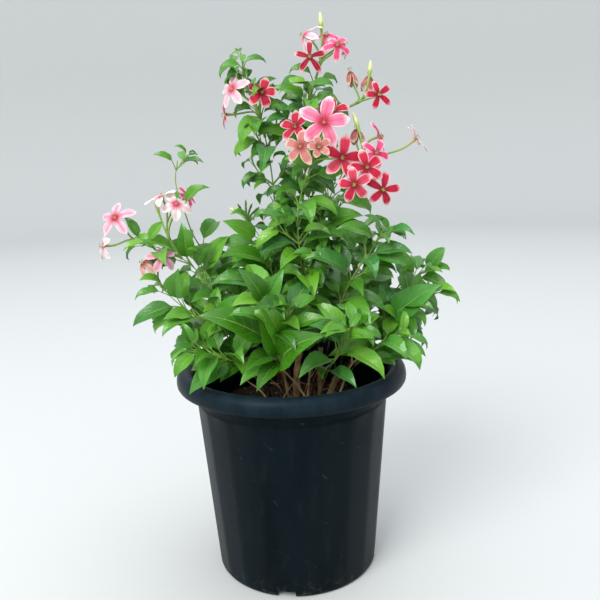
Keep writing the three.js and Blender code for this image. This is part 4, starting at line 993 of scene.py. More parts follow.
def pot_material(look):
    """Recycled black polyethylene, injection moulded: blue-black satin with faint flow streaks down the
    wall, a film of dried dirt, hair scratches, and pale scuffs round the foot."""
    material, add = new_material("moulded_black_polyethylene")
    places = add("TexCoord", out="Object")
    lengthwise = add("Mapping", {"Vector": places, "Scale": (1, 1, 0.25)})
    film = add("TexNoise", {"Vector": lengthwise, "Scale": 1 / (42 * MM), "Detail": 5.0, "Roughness": 0.6})
    smear = add("TexNoise", {"Vector": lengthwise, "Scale": 1 / (11 * MM), "Detail": 4.0, "Roughness": 0.65})
    speck = add("TexNoise", {"Vector": places, "Scale": 1 / (1.2 * MM), "Detail": 2.0})
    colour = add("ValToRGB", {0: film}, stops=((0.3, look.black), (0.52, look.blue), (0.72, look.olive)))
    dust = add("ValToRGB", {0: smear}, stops=((0.55, 0.0), (0.8, 1.0)))
    spots = add("ValToRGB", {0: speck}, stops=((0.7, 0.0), (0.77, 1.0)))
    for dirt, share in ((dust, 0.04), (spots, 0.1)):
        share = add("Math", {0: dirt, 1: share})
        colour = add("Mix", {0: share, 6: colour, 7: look.dust[:]})
    crust = add("TexNoise", {"Vector": places, "Scale": 1 / (5 * MM), "Detail": 4.0})
    # Hair scratches are drawn about 0.3 mm wide so that they show, and only where the wall has been rubbed.
    aslant = add("Mapping", {"Vector": places, "Rotation": (0.4, 0.9, 0.3)})
    lines = add("TexWave", {"Vector": aslant, "Scale": 9.0, "Distortion": 14.0, "Detail": 3.0,
                            "Detail Scale": 0.8}, "Fac")
    rubbed = add("ValToRGB", {0: crust}, stops=((0.56, 0.0), (0.66, 1.0)))
    scratch = add("Math", {0: add("ValToRGB", {0: lines}, stops=((0.99, 0.0), (0.999, 1.0))), 1: rubbed})
    colour = add("Mix", {0: add("Math", {0: scratch, 1: 0.07}), 6: colour,
                         7: look.scuff[:]})
    height = add("SeparateXYZ", {0: places}, "Z")
    high = add("Math", {0: height, 1: 80.0, 2: -14.2}, operation="MULTIPLY_ADD", use_clamp=True)
    high = add("Math", {0: high, 1: add("ValToRGB", {0: smear}, stops=((0.3, 0.35), (0.7, 1.0)))})
    colour = add("Mix", {0: high, 6: colour, 7: look.worn[:]})
    low = add("Math", {0: height, 1: -50.0, 2: 0.9}, operation="MULTIPLY_ADD", use_clamp=True)
    low = add("Math", {0: low, 1: add("ValToRGB", {0: crust}, stops=((0.5, 0.0), (0.68, 0.2)))})
    colour = add("Mix", {0: low, 6: colour, 7: look.dust[:]})
    rough = add("Math", {0: film, 1: 0.16, 2: 0.32}, operation="MULTIPLY_ADD")
    rough = add("Math", {0: dust, 1: 0.14, 2: rough}, operation="MULTIPLY_ADD")
    relief = add("TexNoise", {"Vector": places, "Scale": 1 / (3 * MM), "Detail": 3.0})
    relief = add("Math", {0: smear, 1: 1.2, 2: relief}, operation="MULTIPLY_ADD")
    normal = add("Bump", {"Height": relief, "Distance": 0.2 * MM, "Strength": 0.5})
    plastic = add("BsdfPrincipled", {
        "Base Color": colour, "Roughness": rough, "IOR": 1.5, "Specular Tint": linear("b9d6e6"),
        "Specular IOR Level": 0.11, "Normal": normal})
    add("OutputMaterial", {"Surface": plastic})
    return material


def soil_material(look):
    """Potting mix: dark damp peat and composted bark, matt, with rust-brown fibres."""
    material, add = new_material("peat_and_bark_mix")
    places = add("TexCoord", out="Object")
    clod = add("TexNoise", {"Vector": places, "Scale": 1 / (4 * MM), "Detail": 5.0, "Roughness": 0.7})
    fibre = add("TexNoise", {"Vector": places, "Scale": 1 / (1.2 * MM), "Detail": 4.0, "Roughness": 0.7})
    colour = add("ValToRGB", {0: clod}, stops=((0.32, look.dark), (0.55, look.brown), (0.74, look.rust)))
    relief = add("Math", {0: fibre, 1: 0.6, 2: clod}, operation="MULTIPLY_ADD")
    normal = add("Bump", {"Height": relief, "Distance": 1.6 * MM, "Strength": 1.0})
    peat = add("BsdfPrincipled", {"Base Color": colour, "Roughness": 0.95, "IOR": 1.4, "Normal": normal})
    add("OutputMaterial", {"Surface": peat})
    return material


def crumb_material(look):
    """Loose bark chips and peat crumbs, each in a shade of its own from black to weathered tan."""
    material, add = new_material("bark_chip_and_crumb")
    places = add("TexCoord", out="Object")
    colour = add("ValToRGB", {0: add("Attribute", attribute_name="tone")}, stops=(
        (0.0, look.dark), (0.5, look.brown), (0.82, look.rust), (1.0, look.chip)))
    grain = add("TexNoise", {"Vector": places, "Scale": 1 / (1 * MM), "Detail": 3.0})
    normal = add("Bump", {"Height": grain, "Distance": 0.5 * MM, "Strength": 0.8})
    chip = add("BsdfPrincipled", {"Base Color": colour, "Roughness": 0.9, "IOR": 1.4, "Normal": normal})
    add("OutputMaterial", {"Surface": chip})
    return material


def straw_material(look):
    """Dry straw: bleached, flat and faintly glossy, ribbed along its length."""
    material, add = new_material("dry_straw")
    places = add("TexCoord", out="Object")
    grain = add("TexNoise", {"Vector": places, "Scale": 1 / (2 * MM), "Detail": 3.0})
    shade_of = add("Math", {0: grain, 1: 0.5, 2: add("Attribute", attribute_name="tone")},
                   operation="MULTIPLY_ADD")
    colour = add("ValToRGB", {0: shade_of}, stops=((0.3, linear("5d4427")), (0.8, look.straw)))
    dry = add("BsdfPrincipled", {"Base Color": colour, "Roughness": 0.65, "IOR": 1.45})
    add("OutputMaterial", {"Surface": dry})
    return material


def stage_paint(look):
    """Plain matt paint, for the stage."""
    material, add = new_material("matt_floor_paint")
    paint = add("BsdfPrincipled", {"Base Color": look.floor[:], "Roughness": 0.9})
    add("OutputMaterial", {"Surface": paint})
    return material


# The pot

def pot_rows():
    """Rows of radius and height: up the wall, over the drooping rim, down the inside and in to the floor."""
    shoulder = SHOULDER_RADIUS
    wall = [(FOOT_RADIUS + (shoulder - 1 - FOOT_RADIUS) * s, 5 + (LEDGE_Z - 5) * s)
            for s in np.linspace(0, 1, 11)]
    inner = FOOT_RADIUS - WALL - 1
    return [
        (FOOT_RADIUS - 3, 0), (FOOT_RADIUS - 1.5, 0.8), (FOOT_RADIUS - 0.5, 2.3), *wall,
        *((shoulder - inward, LEDGE_Z + up) for inward, up in LEDGE), (shoulder - 1.6, SHOULDER_Z),
        *((RIM_RADIUS - inward, POT_HEIGHT - down) for inward, down in RIM_ROLL),
        (MOUTH_RADIUS - 2, POT_HEIGHT - 9), (MOUTH_RADIUS - 2.6, POT_HEIGHT - 16),
        (MOUTH_RADIUS - 5, POT_HEIGHT - 44), (inner + 0.6, FLOOR + 4), (inner, FLOOR + 1),
        (inner - 1.2, FLOOR)]


def press_flats(pot, depth):
    """Presses the flats into the outer wall, deepest half way between two corners."""
    half = math.pi / FACETS
    for vertex in pot.data.vertices:
        x, y, z = (value / MM for value in vertex.co)
        radius = math.hypot(x, y)
        if 3 < z < LEDGE_Z + 0.2 and radius > FOOT_RADIUS - 1:
            angle = math.atan2(x, -y) - FACET_TURN
            away = abs(angle - 2 * half * round(angle / (2 * half))) / half
            shrink = 1 - depth / radius * (1 - (1 - away) ** 2)
            vertex.co.x *= shrink
            vertex.co.y *= shrink


def round_foot(radius, turn):
    """The place on the pot's foot at a radius and a turn from the front."""
    return (radius * MM * math.sin(turn), -radius * MM * math.cos(turn), 0)


def cut_feet(pot, rounding):
    """Cuts the water notches into the foot's edge, and the drain holes inside it."""
    deselect()
    for n in range(NOTCHES):
        turn = NOTCH_TURN + 2 * math.pi * n / NOTCHES
        bpy.ops.mesh.primitive_cube_add(
            size=1, location=round_foot(FOOT_RADIUS, turn), rotation=(0, 0, turn),
            scale=(NOTCH_WIDTH * MM, NOTCH_REACH * MM, 2 * NOTCH_HEIGHT * MM))
        notch = bpy.context.object
        bpy.ops.object.transform_apply(scale=True)
        edit_all()
        bpy.ops.mesh.bevel(offset=rounding, segments=3)
        bpy.ops.object.mode_set(mode="OBJECT")
        apply_cut(pot, notch)
        turn += math.pi / NOTCHES
        deselect()
        bpy.ops.mesh.primitive_cylinder_add(
            vertices=32, radius=DRAIN_RADIUS * MM, depth=4 * FLOOR * MM,
            location=round_foot(DRAIN_CIRCLE, turn))
        apply_cut(pot, bpy.context.object)


def apply_cut(thing, cutter):
    """Cuts one object out of another, and removes it."""
    apply_modifier(thing, "cut", "BOOLEAN", operation="DIFFERENCE", object=cutter, solver="EXACT")
    bpy.data.objects.remove(cutter)


class MakePot(Operator):
    """Draws the pot up from its foot, presses its flats, and cuts the notches and drain holes"""
    bl_idname = "creeper.pot"
    bl_label = "Nursery pot"

    def execute(self, context):
        look = context.scene.creeper_pot
        pot = turned("nursery_pot", pot_rows(), 160, FACET_TURN)
        press_flats(pot, look.facet_depth / MM)
        cut_feet(pot, look.notch_rounding)
        pot.data.materials.append(pot_material(look))
        round_off(pot, 38)
        keep(pot, "pot_plastic", "pot")
        return {"FINISHED"}


# The soil and what lies on it

def soil_edge():
    """The soil's radius at its top, just inside the wall."""
    foot = FOOT_RADIUS - WALL - 1
    rise = (SOIL_LEVEL - FLOOR) / (POT_HEIGHT - MOUTH_DROP - FLOOR)
    return foot + rise * (MOUTH_RADIUS - 2 - foot) - 0.6


def soil_top(x, y, lumps):
    """The soil's level with its clods."""
    rough = noise.noise(Vector((x, y, 0)) / 11) + 0.55 * noise.noise(Vector((x, y, 9)) / 4.5)
    return soil_height(x, y) + lumps * rough


class MakeSoil(Operator):
    """Fills the pot with potting mix and raises its clods"""
    bl_idname = "creeper.soil"
    bl_label = "Potting mix"

    def execute(self, context):
        look = context.scene.creeper_soil
        edge = soil_edge()
        rings = [(radius, SOIL_LEVEL) for radius in np.linspace(edge, 1, 34)]
        foot = (FOOT_RADIUS - WALL - 2, FLOOR + GAP)
        soil = turned("potting_mix", [foot, (edge, SOIL_LEVEL - 3), *rings], 128)
        for vertex in soil.data.vertices:
            x, y, z = (value / MM for value in vertex.co)
            if z > SOIL_LEVEL - 1:
                vertex.co.z = soil_top(x, y, look.lump_height / MM) * MM
        soil.data.materials.append(soil_material(look))
        round_off(soil, 60)
        keep(soil, "potting_soil", "soil")
        return {"FINISHED"}


class MakeLitter(Operator):
    """Scatters crumbs, bark chips and dry straws on the soil"""
    bl_idname = "creeper.litter"
    bl_label = "Crumbs and straws"

    def execute(self, context):
        look = context.scene.creeper_soil
        lumps = look.lump_height / MM
        lump = model_crumb()
        crumbs = Sheaf("tone")
        for n in range(look.crumbs):
            away = (soil_edge() - 2) * math.sqrt(draw(n, 1))
            turn = 2 * math.pi * draw(n, 2)
            x, y = away * math.cos(turn), away * math.sin(turn)
            size = 0.7 + 2.6 * draw(n, 3) ** 3
            spin = Matrix.Rotation(6.3 * draw(n, 4), 3, "Z") @ Matrix.Rotation(1.2 * draw(n, 5), 3, "X")
            squash = np.array((1, 0.55 + 0.4 * draw(n, 6), 0.35 + 0.4 * draw(n, 7))) * size
            places = (lump.places * squash) @ np.array(spin).T
            places = places + point((x, y, soil_top(x, y, lumps) + 0.3 * size))
            crumbs.add(lump, places, tone=draw(n, 8) ** 1.6)
        keep(crumbs.made("soil_crumbs", crumb_material(look), sharp=30), "potting_soil")
        straws = Sheaf("tone")
        for n in range(look.straws):
            away = (soil_edge() - 10) * math.sqrt(draw(n, 11))
            turn = 2 * math.pi * draw(n, 12)
            middle = point((away * math.cos(turn), away * math.sin(turn), 0))
            heading = 2 * math.pi * draw(n, 13)
            reach = 5 + 16 * draw(n, 14) ** 2
            bow = 0.12 * reach * (draw(n, 15) - 0.5)
            line = []
            for s in np.linspace(-1, 1, 7):
                here = middle + point((math.cos(heading), math.sin(heading), 0)) * reach * s
                here = here + point((-math.sin(heading), math.cos(heading), 0)) * bow * (1 - s * s)
                if math.hypot(here[0], here[1]) < soil_edge() - 1:
                    here[2] = soil_top(here[0], here[1], lumps) + 0.9
                    line.append(here)
            if len(line) > 2:
                straw = tube(framed(line), [0.5 + 0.25 * draw(n, 16)] * len(line), 5)
                straws.add(straw, straw.places, tone=0.25 + 0.6 * draw(n, 17))
        keep(straws.made("dry_straws", straw_material(look)), "potting_soil")
        return {"FINISHED"}


# Wood

# Dead and broken stems: the points that each grows through, its radius at the foot and at the end, and
# whether it is bleached.
TWIGS = (
    (((3, -18, 146), (4, -19, 178), (6, -18, 200), (9, -18, 222)), 3.3, 2.7, False),
    (((30, -28, 146), (33, -30, 168), (38, -31, 184), (43, -31, 194)), 3.6, 2.6, False),
    (((36, -31, 180), (39, -36, 188), (46, -39, 196)), 1.3, 0.9, False),
    (((26, -9, 146), (26, -10, 178), (28, -10, 212)), 2.3, 1.8, False),
    (((-3, -24, 146), (-5, -25, 172), (-9, -25, 203)), 2.2, 1.6, False),
    (((22, -35, 150), (8, -37, 180), (-8, -36, 201)), 1.2, 0.8, True),
    (((33, -33, 150), (44, -40, 182), (50, -43, 200), (61, -44, 211), (83, -44, 208)), 1.1, 0.6, True),
    (((50, -43, 200), (53, -47, 208), (52, -50, 217)), 0.7, 0.4, True),
    (((-14, -30, 150), (-26, -36, 178), (-40, -38, 192)), 1.0, 0.6, True),
    (((12, -26, 148), (14, -34, 176), (17, -38, 204)), 1.5, 1.0, False),
    (((-54, -28, 151), (-30, -44, 161), (-4, -56, 174)), 0.5, 0.35, True),
    (((-42, -50, 150), (-18, -52, 168), (2, -46, 192)), 0.5, 0.3, True),
    (((-64, -34, 152), (-46, -56, 153), (-22, -64, 156)), 0.55, 0.35, True),
    (((14, -50, 150), (28, -58, 160), (44, -56, 178)), 0.6, 0.4, True),
)


def loose_twig(n):
    """A thin twig that leans out of the crown, in the form of the table above."""
    turn = 2 * math.pi * draw(n, 51)
    away = 6 + 26 * draw(n, 52)
    foot = point((CROWN[0] + away * math.cos(turn), CROWN[1] - 8 + away * math.sin(turn), SOIL_LEVEL - 2))
    lean = turn + 2.2 * (draw(n, 53) - 0.5)
    tall = 34 + 50 * draw(n, 54)
    out = (0.25 + 0.55 * draw(n, 55)) * tall
    knee = foot + point((0.35 * out * math.cos(lean), 0.35 * out * math.sin(lean), 0.55 * tall))
    tip = foot + point((out * math.cos(lean + 0.5), out * math.sin(lean + 0.5), tall))
    thick = 0.4 + 0.5 * draw(n, 56)
    return (foot, knee, tip), thick, 0.5 * thick, n % 3 == 0


def knobbly(stations, radii, sides, swell, seed):
    """A round stem with an uneven skin and a swollen node every 16 mm or so."""
    radii = [
        r * (1 + 0.08 * noise.noise(Vector(at.point + seed) / 5)
             + swell * math.exp(-(((at.run + 5 * seed) % 16 - 8) / 1.6) ** 2))
        for at, r in zip(stations, radii)]
    stem = tube(stations, radii, sides)
    for n, place in enumerate(stem.places):
        core = stations[n // sides].point
        place[:] = core + (place - core) * (1 + 0.13 * noise.noise(Vector(place) / 2.2))
    return stem


def stem_line(shoot):
    """A shoot's way in fine steps, with its radius at each."""
    stations = framed(smooth_line(shoot.corners, 9))
    whole = stations[-1].run
    return stations, [shoot.thick * (1 - TAPER * (at.run / whole) ** 0.8) for at in stations]


class MakeWood(Operator):
    """Grows the woody stems out of the soil, with the dead and broken ones between them"""
    bl_idname = "creeper.wood"
    bl_label = "Woody stems"

    def execute(self, context):
        look = context.scene.creeper_wood
        bark = bark_material(look, "young_woody_bark", False)
        for _, names in FEET:
            wood = Sheaf("tone")
            for name in names:
                shoot = plant().shoots[name]
                stations, radii = stem_line(shoot)
                whole = stations[-1].run
                cut = next(i for i, at in enumerate(stations) if at.run > shoot.woody * whole) + 1
                deep = [stations[0].point - stations[0].tangent * d for d in (BURIED * 0.8, BURIED * 0.4)]
                line = framed(smooth_line([*deep, *(at.point for at in stations[:cut])], 2))
                thick = [look.slimness * radii[max(0, min(cut - 1, i // 2 - 2))] for i in range(len(line))]
                stem = knobbly(line, thick, 12, look.knobs, shoot.number)
                wood.add(stem, stem.places, tone=0.55 * draw(shoot.number, 61))
            keep(wood.made("wood_" + names[0], bark), "bark", "woody_stem_" + names[0])
        dead = [*TWIGS, *(loose_twig(n) for n in range(look.twigs))]
        for title, bleached in (("broken_stems", False), ("dead_twigs", True)):
            twigs = Sheaf("tone")
            for n, (corners, thick, thin, pale) in enumerate(dead):
                if pale == bleached:
                    line = framed(smooth_line([point(corner) for corner in corners], 8))
                    radii = [thick + (thin - thick) * at.run / line[-1].run for at in line]
                    twig = knobbly(line, radii, 10, look.knobs, 40 + n)
                    twigs.add(twig, twig.places, tone=0.95 if n < len(TWIGS) else draw(n, 62))
            keep(twigs.made(title, bark_material(look, "bark_" + title, bleached)), "bark")
        return {"FINISHED"}


# Leaves and green stems

# The share of the axils that hold a side shoot, in most shoots and in the others, where a shoot's tip is
# bare, the places of the small sprigs at a tip, and the place of each leaf on a side shoot with its size.
COMMON_SHARE = 0.4
SIDE_SHARE = {
    "spike": 0.75, "arch": 0.75, "truss": 0.6, "right_truss": 0.55, "left_high": 0.1, "right_high": 0.2}
BARE_TIPS = {"left_high": 0.6, "middle": 0.8, "left_far": 0.85, "left_mid": 0.9}
SPRIGS = {
    "arch": (0.9, 0.94, 0.97, 0.98), "left_high": (0.97,), "right_high": (0.97,), "right_inner": (0.95,)}
SIDE_LEAVES = ((0.5, 0.66), (0.54, 0.6), (0.9, 0.5), (0.94, 0.44), (1, 0.22))


def add_leaf(leaves, leaf, shape, n, look):
    """Lays a modelled blade along a leaf's bending midrib, folds it up at its sides and waves its edge."""
    t, y, z = (column[:, None] for column in shape.places.T)
    middle, normal = midrib(leaf, t)
    side = np.cross(leaf.dir, leaf.up)
    half = 0.5 * leaf.width
    out = np.abs(y)
    phase = 2 * math.pi * (2.1 * t + draw(n, 31)) + 1.4 * np.sign(y)
    wave = look.wave * leaf.length * np.sin(phase) * out ** 1.5
    hook = look.hook * leaf.length * (0.4 + draw(n, 33)) * np.clip((t - 0.62) / 0.38, 0, 1) ** 2
    fold = min(1.25 * leaf.fold + 0.08, 0.6)
    lift = half * math.sin(fold) * out * (1.35 - 0.5 * out) + wave - hook + z * look.thickness / MM
    places = middle + side * (y * half * math.cos(fold)) + normal * lift
    young = 0.14 if leaf.size < 0.6 else 0.07 if leaf.size < 1 else 0.0
    tone = 0.4 + young + 0.56 * (draw(n, 32) - 0.5) + (0.06 if leaf.shown else 0)
    cool = max(0.0, draw(n, 34) - 0.45) * (0.9 if leaf.base[0] > 20 or leaf.base[2] > 350 else 0.5)
    leaves.add(shape, places, tone=tone, cool=cool * (1 - 2 * young), under=(z[:, 0] < 0).astype(float))


def add_stalk(stems, stations, leaf):
    """A leaf's stalk: from inside its stem, in a curve, to the foot of its blade."""
    root = min(stations, key=lambda at: np.linalg.norm(at.point - leaf.root)).point
    foot = leaf.base + leaf.dir * (leaf.petiole + 0.6)
    knee = 0.5 * (root + foot) + 0.2 * (leaf.base + leaf.dir * 2 - root)
    line = framed([bezier([root, knee, foot], s) for s in np.linspace(0, 1, 6)])
    thick = 0.34 + 0.008 * leaf.length
    stalk = tube(line, [1.25 * thick, thick, 0.9 * thick, 0.85 * thick, 0.8 * thick, 0.5 * thick], 6)
    stems.add(stalk, stalk.places, age=0.12 + 0.2 * (1 - stalk.runs))


def side_leaves(shoot):
    """Small leaves of the side buds, between the pairs that the solid has."""
    grown = []
    for n in range(2 * (2 * shoot.pairs - 1)):
        share = shoot.leafy - 0.04 + 0.5 * shoot.apart * (n // 2)
        if share > 0.97:
            continue
        at = leaf_place(shoot.stations, share)
        azimuth = math.radians(shoot.turn + 45 + pair_turn(n))
        azimuth += 0.7 * (draw(shoot.number, n + 700) - 0.5)
        leaf = leaf_in_pair(shoot, n + 60, at, azimuth, 0.5 + 0.32 * draw(shoot.number, n + 800), 0)
        leaf.size = 0.7 if draw(shoot.number, n + 900) > 0.5 else 1
        if not hides_crown(at.point) and not (shoot.name in BARE_TIPS and share > BARE_TIPS[shoot.name]):
            grown.append(leaf)
    return grown


def hides_crown(place):
    """Whether a small leaf at a place would stand before the bare stems at the crown."""
    return place[1] < -24 and place[2] < 236 and abs(place[0] - 12) < 46


def side_shoots(shoot):
    """The short side shoots in the axils of the pairs, with small leaves, and the tuft at a shoot's tip."""
    grown = []
    spots = [(shoot.leafy + shoot.apart * (k // 2), pair_turn(k), 1) for k in range(2 * shoot.pairs - 2)]
    spots += [(share, 75 * k, 0.6) for k, share in enumerate(SPRIGS.get(shoot.name, ()))]
    for k, (share, turn, scale) in enumerate(spots):
        bare = share > BARE_TIPS.get(shoot.name, 1)
        if scale == 1 and (bare or draw(shoot.number, k + 620) > SIDE_SHARE.get(shoot.name, COMMON_SHARE)):
            continue
        at = along(shoot.stations, share)
        angle = math.radians(shoot.turn + turn) + 0.9 * (draw(shoot.number, k + 640) - 0.5)
        way = unit(outward(at, angle) + 0.75 * at.tangent + point((0, -0.1, 0.25)))
        if hides_crown(at.point + 10 * way):
            continue
        reach = scale * (20 + 16 * draw(shoot.number, k + 660))
        line = [at.point, at.point + 0.5 * reach * way, at.point + reach * unit(way + point((0, 0, 0.3)))]
        side = SimpleNamespace(
            number=shoot.number + 20 * (k + 1), rise=shoot.rise + 0.1, leaf=shoot.leaf, droop=shoot.droop,
            stations=framed(smooth_line(line, 3)), scale=scale, leaves=[])
        for n, (spot, size) in enumerate(SIDE_LEAVES):
            place = leaf_place(side.stations, spot)
            azimuth = math.radians(pair_turn(n)) + shoot.number + k
            leaf = leaf_in_pair(side, n + 900, place, azimuth, size * (0.6 + 0.4 * scale), 0)
            leaf.size = 0.5 if spot > 0.9 else 0.7
            leaf.petiole *= 0.5
            side.leaves.append(leaf)
        grown.append(side)
    return grown


class MakeShoots(Operator):
    """Grows the green stems and their leaves on their stalks"""
    bl_idname = "creeper.shoots"
    bl_label = "Shoots and leaves"

    def execute(self, context):
        look = context.scene.creeper_leaf
        blade, skin = leaf_material(look), stem_material(look)
        fine = model_blade(9, 4, leaf_outline)
        plain = model_blade(6, 4, leaf_outline)
        small = model_blade(6, 2, leaf_outline)
        for shoot in plant().shoots.values():
            leaves, stems = Sheaf("tone", "cool", "under"), Sheaf("age")
            stations, radii = stem_line(shoot)
            whole = stations[-1].run
            first = next(i for i, at in enumerate(stations) if at.run > shoot.woody * whole) - 1
            nodes = [shoot.leafy + shoot.apart * k for k in range(shoot.pairs)]
            slim = context.scene.creeper_wood.slimness
            radii = [
                slim * r * (1 + 0.3 * sum(math.exp(-((at.run - node * whole) / 2) ** 2) for node in nodes))
                for at, r in zip(stations, radii)]
            radii[-1] = 0.4
            green = tube(stations[first:], radii[first:], 10)
            aged = np.array([
                max(0.0, 1 - (at.run - shoot.woody * whole) / (0.3 * whole)) for at in stations[first:]])
            stems.add(green, green.places, age=0.12 + 0.78 * np.repeat(aged, 10) ** 1.5)
            for n, leaf in enumerate([*shoot.leaves, *side_leaves(shoot)]):
                own = 100 * shoot.number + n
                shape = fine if leaf.shown else plain if n < len(shoot.leaves) else small
                add_leaf(leaves, leaf, shape, own, look)
                add_stalk(stems, stations, leaf)
            for k, side in enumerate(side_shoots(shoot)):
                thick = np.linspace(0.95, 0.5, len(side.stations)) * (0.5 + 0.5 * side.scale)
                stick = tube(side.stations, thick, 6)
                stems.add(stick, stick.places, age=0.2)
                for n, leaf in enumerate(side.leaves):
                    add_leaf(leaves, leaf, small, 40 * side.number + n, look)
                    add_stalk(stems, side.stations, leaf)
            keep(leaves.made("leaves_" + shoot.name, blade, sharp=24), "leaf", "shoot_" + shoot.name)
            keep(stems.made("stem_" + shoot.name, skin), "leaf")
        return {"FINISHED"}


# Blooms

# How much paler than its kind a bloom is, by its number. One below nought is deeper.
WASHES = {
    1: 0.5, 2: -0.8, 3: 0.1, 4: 0.15, 8: -0.1, 9: 0.3, 10: -0.3, 11: -0.1, 13: 0.1, 14: 0.05, 18: -0.1,
    19: 0.05, 20: -0.2, 21: 0.5, 22: 0.45, 23: -0.1, 24: -0.5, 25: 1.0, 26: 0.9, 27: 0.05, 28: 0.7, 29: 0.8,
    30: 0.7, 31: 0.7,
}

# Where the rings of a bud and its tube lie along them, the tube's radii, and the head's as shares of its own
BUD_RINGS = (0, 0.1, 0.2, 0.35, 0.5, 0.64, 0.72, 0.78, 0.83, 0.88, 0.93, 0.97, 1)
BUD_TUBE = (1.1, 1.15, 0.85, 0.75, 0.8, 0.9, 1.05)
BUD_HEAD = (0.75, 1, 1, 0.8, 0.5, 0.12)


def bloom_end(bloom):
    """Where the tube behind a bloom ends."""
    return bloom.mouth - bloom.face * (GAP + CAD_PETAL_THICKNESS / 2)


def add_tube(tubes, cluster, bloom, sepal):
    """The slender tube behind a bloom, with its five sepals."""
    end = bloom_end(bloom)
    throat = end - 5 * bloom.face
    reach = np.linalg.norm(throat - cluster.start)
    pull = 0.35 * reach
    way = [cluster.start, cluster.start + pull * cluster.lift, throat - pull * bloom.face, throat]
    line = framed([*(bezier(way, s) for s in np.linspace(0, 1, 13)), throat + 2.5 * bloom.face, end])
    radii = [1.25, 1.35, 1.1, *[0.85] * 6, 0.9, 0.95, 1.0, 1.1, 1.3, 1.6]
    stalk = tube(line, radii, 8)
    tubes.add(stalk, stalk.places, age=0.9 * stalk.runs)
    t, y, z = (column[:, None] for column in sepal.places.T)
    for i in range(5):
        turn = 2 * math.pi * (i + 0.5) / 5 + bloom.roll
        out = outward(bloom, turn)
        across = np.cross(bloom.face, out)
        places = end + bloom.face * (1.6 * t * (1 - 0.7 * t) - 0.8) + out * (1.35 + 1.9 * t * t + 0.3 * z)
        places = places + across * (1.1 * y)
        tubes.add(sepal, places, age=0.75)


def add_bud(tubes, cluster, tip, fat):
    """A bud on its slender tube: cream and pointed, or narrow and green while it is young."""
    reach = np.linalg.norm(tip - cluster.start)
    way = [cluster.start, cluster.start + 0.3 * reach * cluster.lift, tip]
    full = 0.86 * fat
    radii = [*BUD_TUBE, *(share * full for share in BUD_HEAD)]
    bud = tube(framed([bezier(way, s) for s in BUD_RINGS]), radii, 9)
    young = fat < 1.5
    tubes.add(bud, bud.places, age=0.3 * bud.runs - 0.35 if young else bud.runs, tone=0.0 if young else 1.0)


def add_petal(petals, bloom, i, shape, look):
    """One petal, which leaves the hub at the bloom's own slope and bends back along its length."""
    t, y, z = (column[:, None] for column in shape.places.T)
    turn = 2 * math.pi * i / 5 + bloom.roll
    out = outward(bloom, turn)
    across = np.cross(bloom.face, out)
    slope = bloom.open + 0.45 * (draw(bloom.number, i) - 0.5)
    long = bloom.petal * (0.9 + 0.2 * draw(bloom.number, i + 10))
    blunt = t * (1 - 0.34 * y * y * t ** 6)
    bent = slope + 0.35 * blunt
    reach = HUB_RADIUS * 0.5 + long * blunt * np.sin(bent)
    rise = long * blunt * np.cos(bent)
    own = draw(bloom.number, i + 20)
    ripple = 0.05 * long * np.sin(2 * math.pi * (1.3 * t + own) + 2.4 * y) * np.abs(y) * t
    cup = 0.22 * bloom.wide * (own - 0.3) * y * y
    above = bloom.face * np.sin(bent) - out * np.cos(bent)
    places = bloom.mouth + out * reach + bloom.face * rise + across * (y * 0.5 * bloom.wide)
    places = places + above * (z * look.thickness / MM + ripple + cup)
    wash = WASHES.get(bloom.number + 1, 0.0) + 0.16 * (own - 0.5)
    petals.add(shape, places, tone=own, wash=wash, under=(z[:, 0] < 0).astype(float))


def add_heart(petals, bloom, count):
    """The mouth of the tube and the stamens that stand in it."""
    deep, high = bloom.mouth - 0.5 * bloom.face, bloom.mouth + 0.55 * bloom.face
    mouth = tube(framed([deep, bloom.mouth, high]), [1.0, 1.15, 0.55], 10)
    petals.add(mouth, mouth.places, 1, tone=0.1)
    for i in range(count):
        turn = 2 * math.pi * (i + draw(bloom.number, i + 30)) / count
        out = outward(bloom, turn)
        foot = bloom.mouth + 0.7 * out
        tip = foot + (1.6 + 1.6 * draw(bloom.number, i + 40)) * bloom.face + 0.9 * out
        head = [tip, tip + 0.35 * bloom.face, tip + 0.75 * bloom.face]
        line = framed([foot, 0.5 * (foot + tip) - 0.15 * out, *head])
        stamen = tube(line, [0.16, 0.14, 0.14, 0.36, 0.12], 5)
        petals.add(stamen, stamen.places, 1, tone=np.where(stamen.runs > 0.75, 0.8, 0.4))


class MakeBlooms(Operator):
    """Opens the blooms, and grows the stalks, tubes and buds of their clusters"""
    bl_idname = "creeper.blooms"
    bl_label = "Blooms and buds"

    def execute(self, context):
        look = context.scene.creeper_bloom
        shape, sepal = model_blade(6, 4, petal_outline), model_blade(2, 2, leaf_outline)
        skin, threads = tube_material(look), stamen_material()
        paints = {tone: petal_material(tone, getattr(look, tone)) for tone in PETAL_SHADES}
        bearing = {}
        for cluster in plant().clusters:
            tubes = bearing.setdefault(cluster.shoot, Sheaf("age", "tone"))
            line = framed(smooth_line([at.point for at in cluster.stalk], 3))
            stalk = tube(line, [1.3, 1.15, 1.1, 1.15], 8)
            tubes.add(stalk, stalk.places, age=0.2)
            for bloom in cluster.blooms:
                add_tube(tubes, cluster, bloom, sepal)
                petals = Sheaf("tone", "wash", "under")
                for i in range(5):
                    add_petal(petals, bloom, i, shape, look)
                add_heart(petals, bloom, look.stamens)
                flower = petals.made(bloom.name + "_petals", paints[bloom.tone], threads)
                keep(flower, "petal_" + bloom.tone, bloom.name)
            for tip, fat in cluster.buds:
                add_bud(tubes, cluster, tip, fat)
        for name, tubes in bearing.items():
            keep(tubes.made("tubes_" + name, skin), "leaf")
        return {"FINISHED"}


# The stage

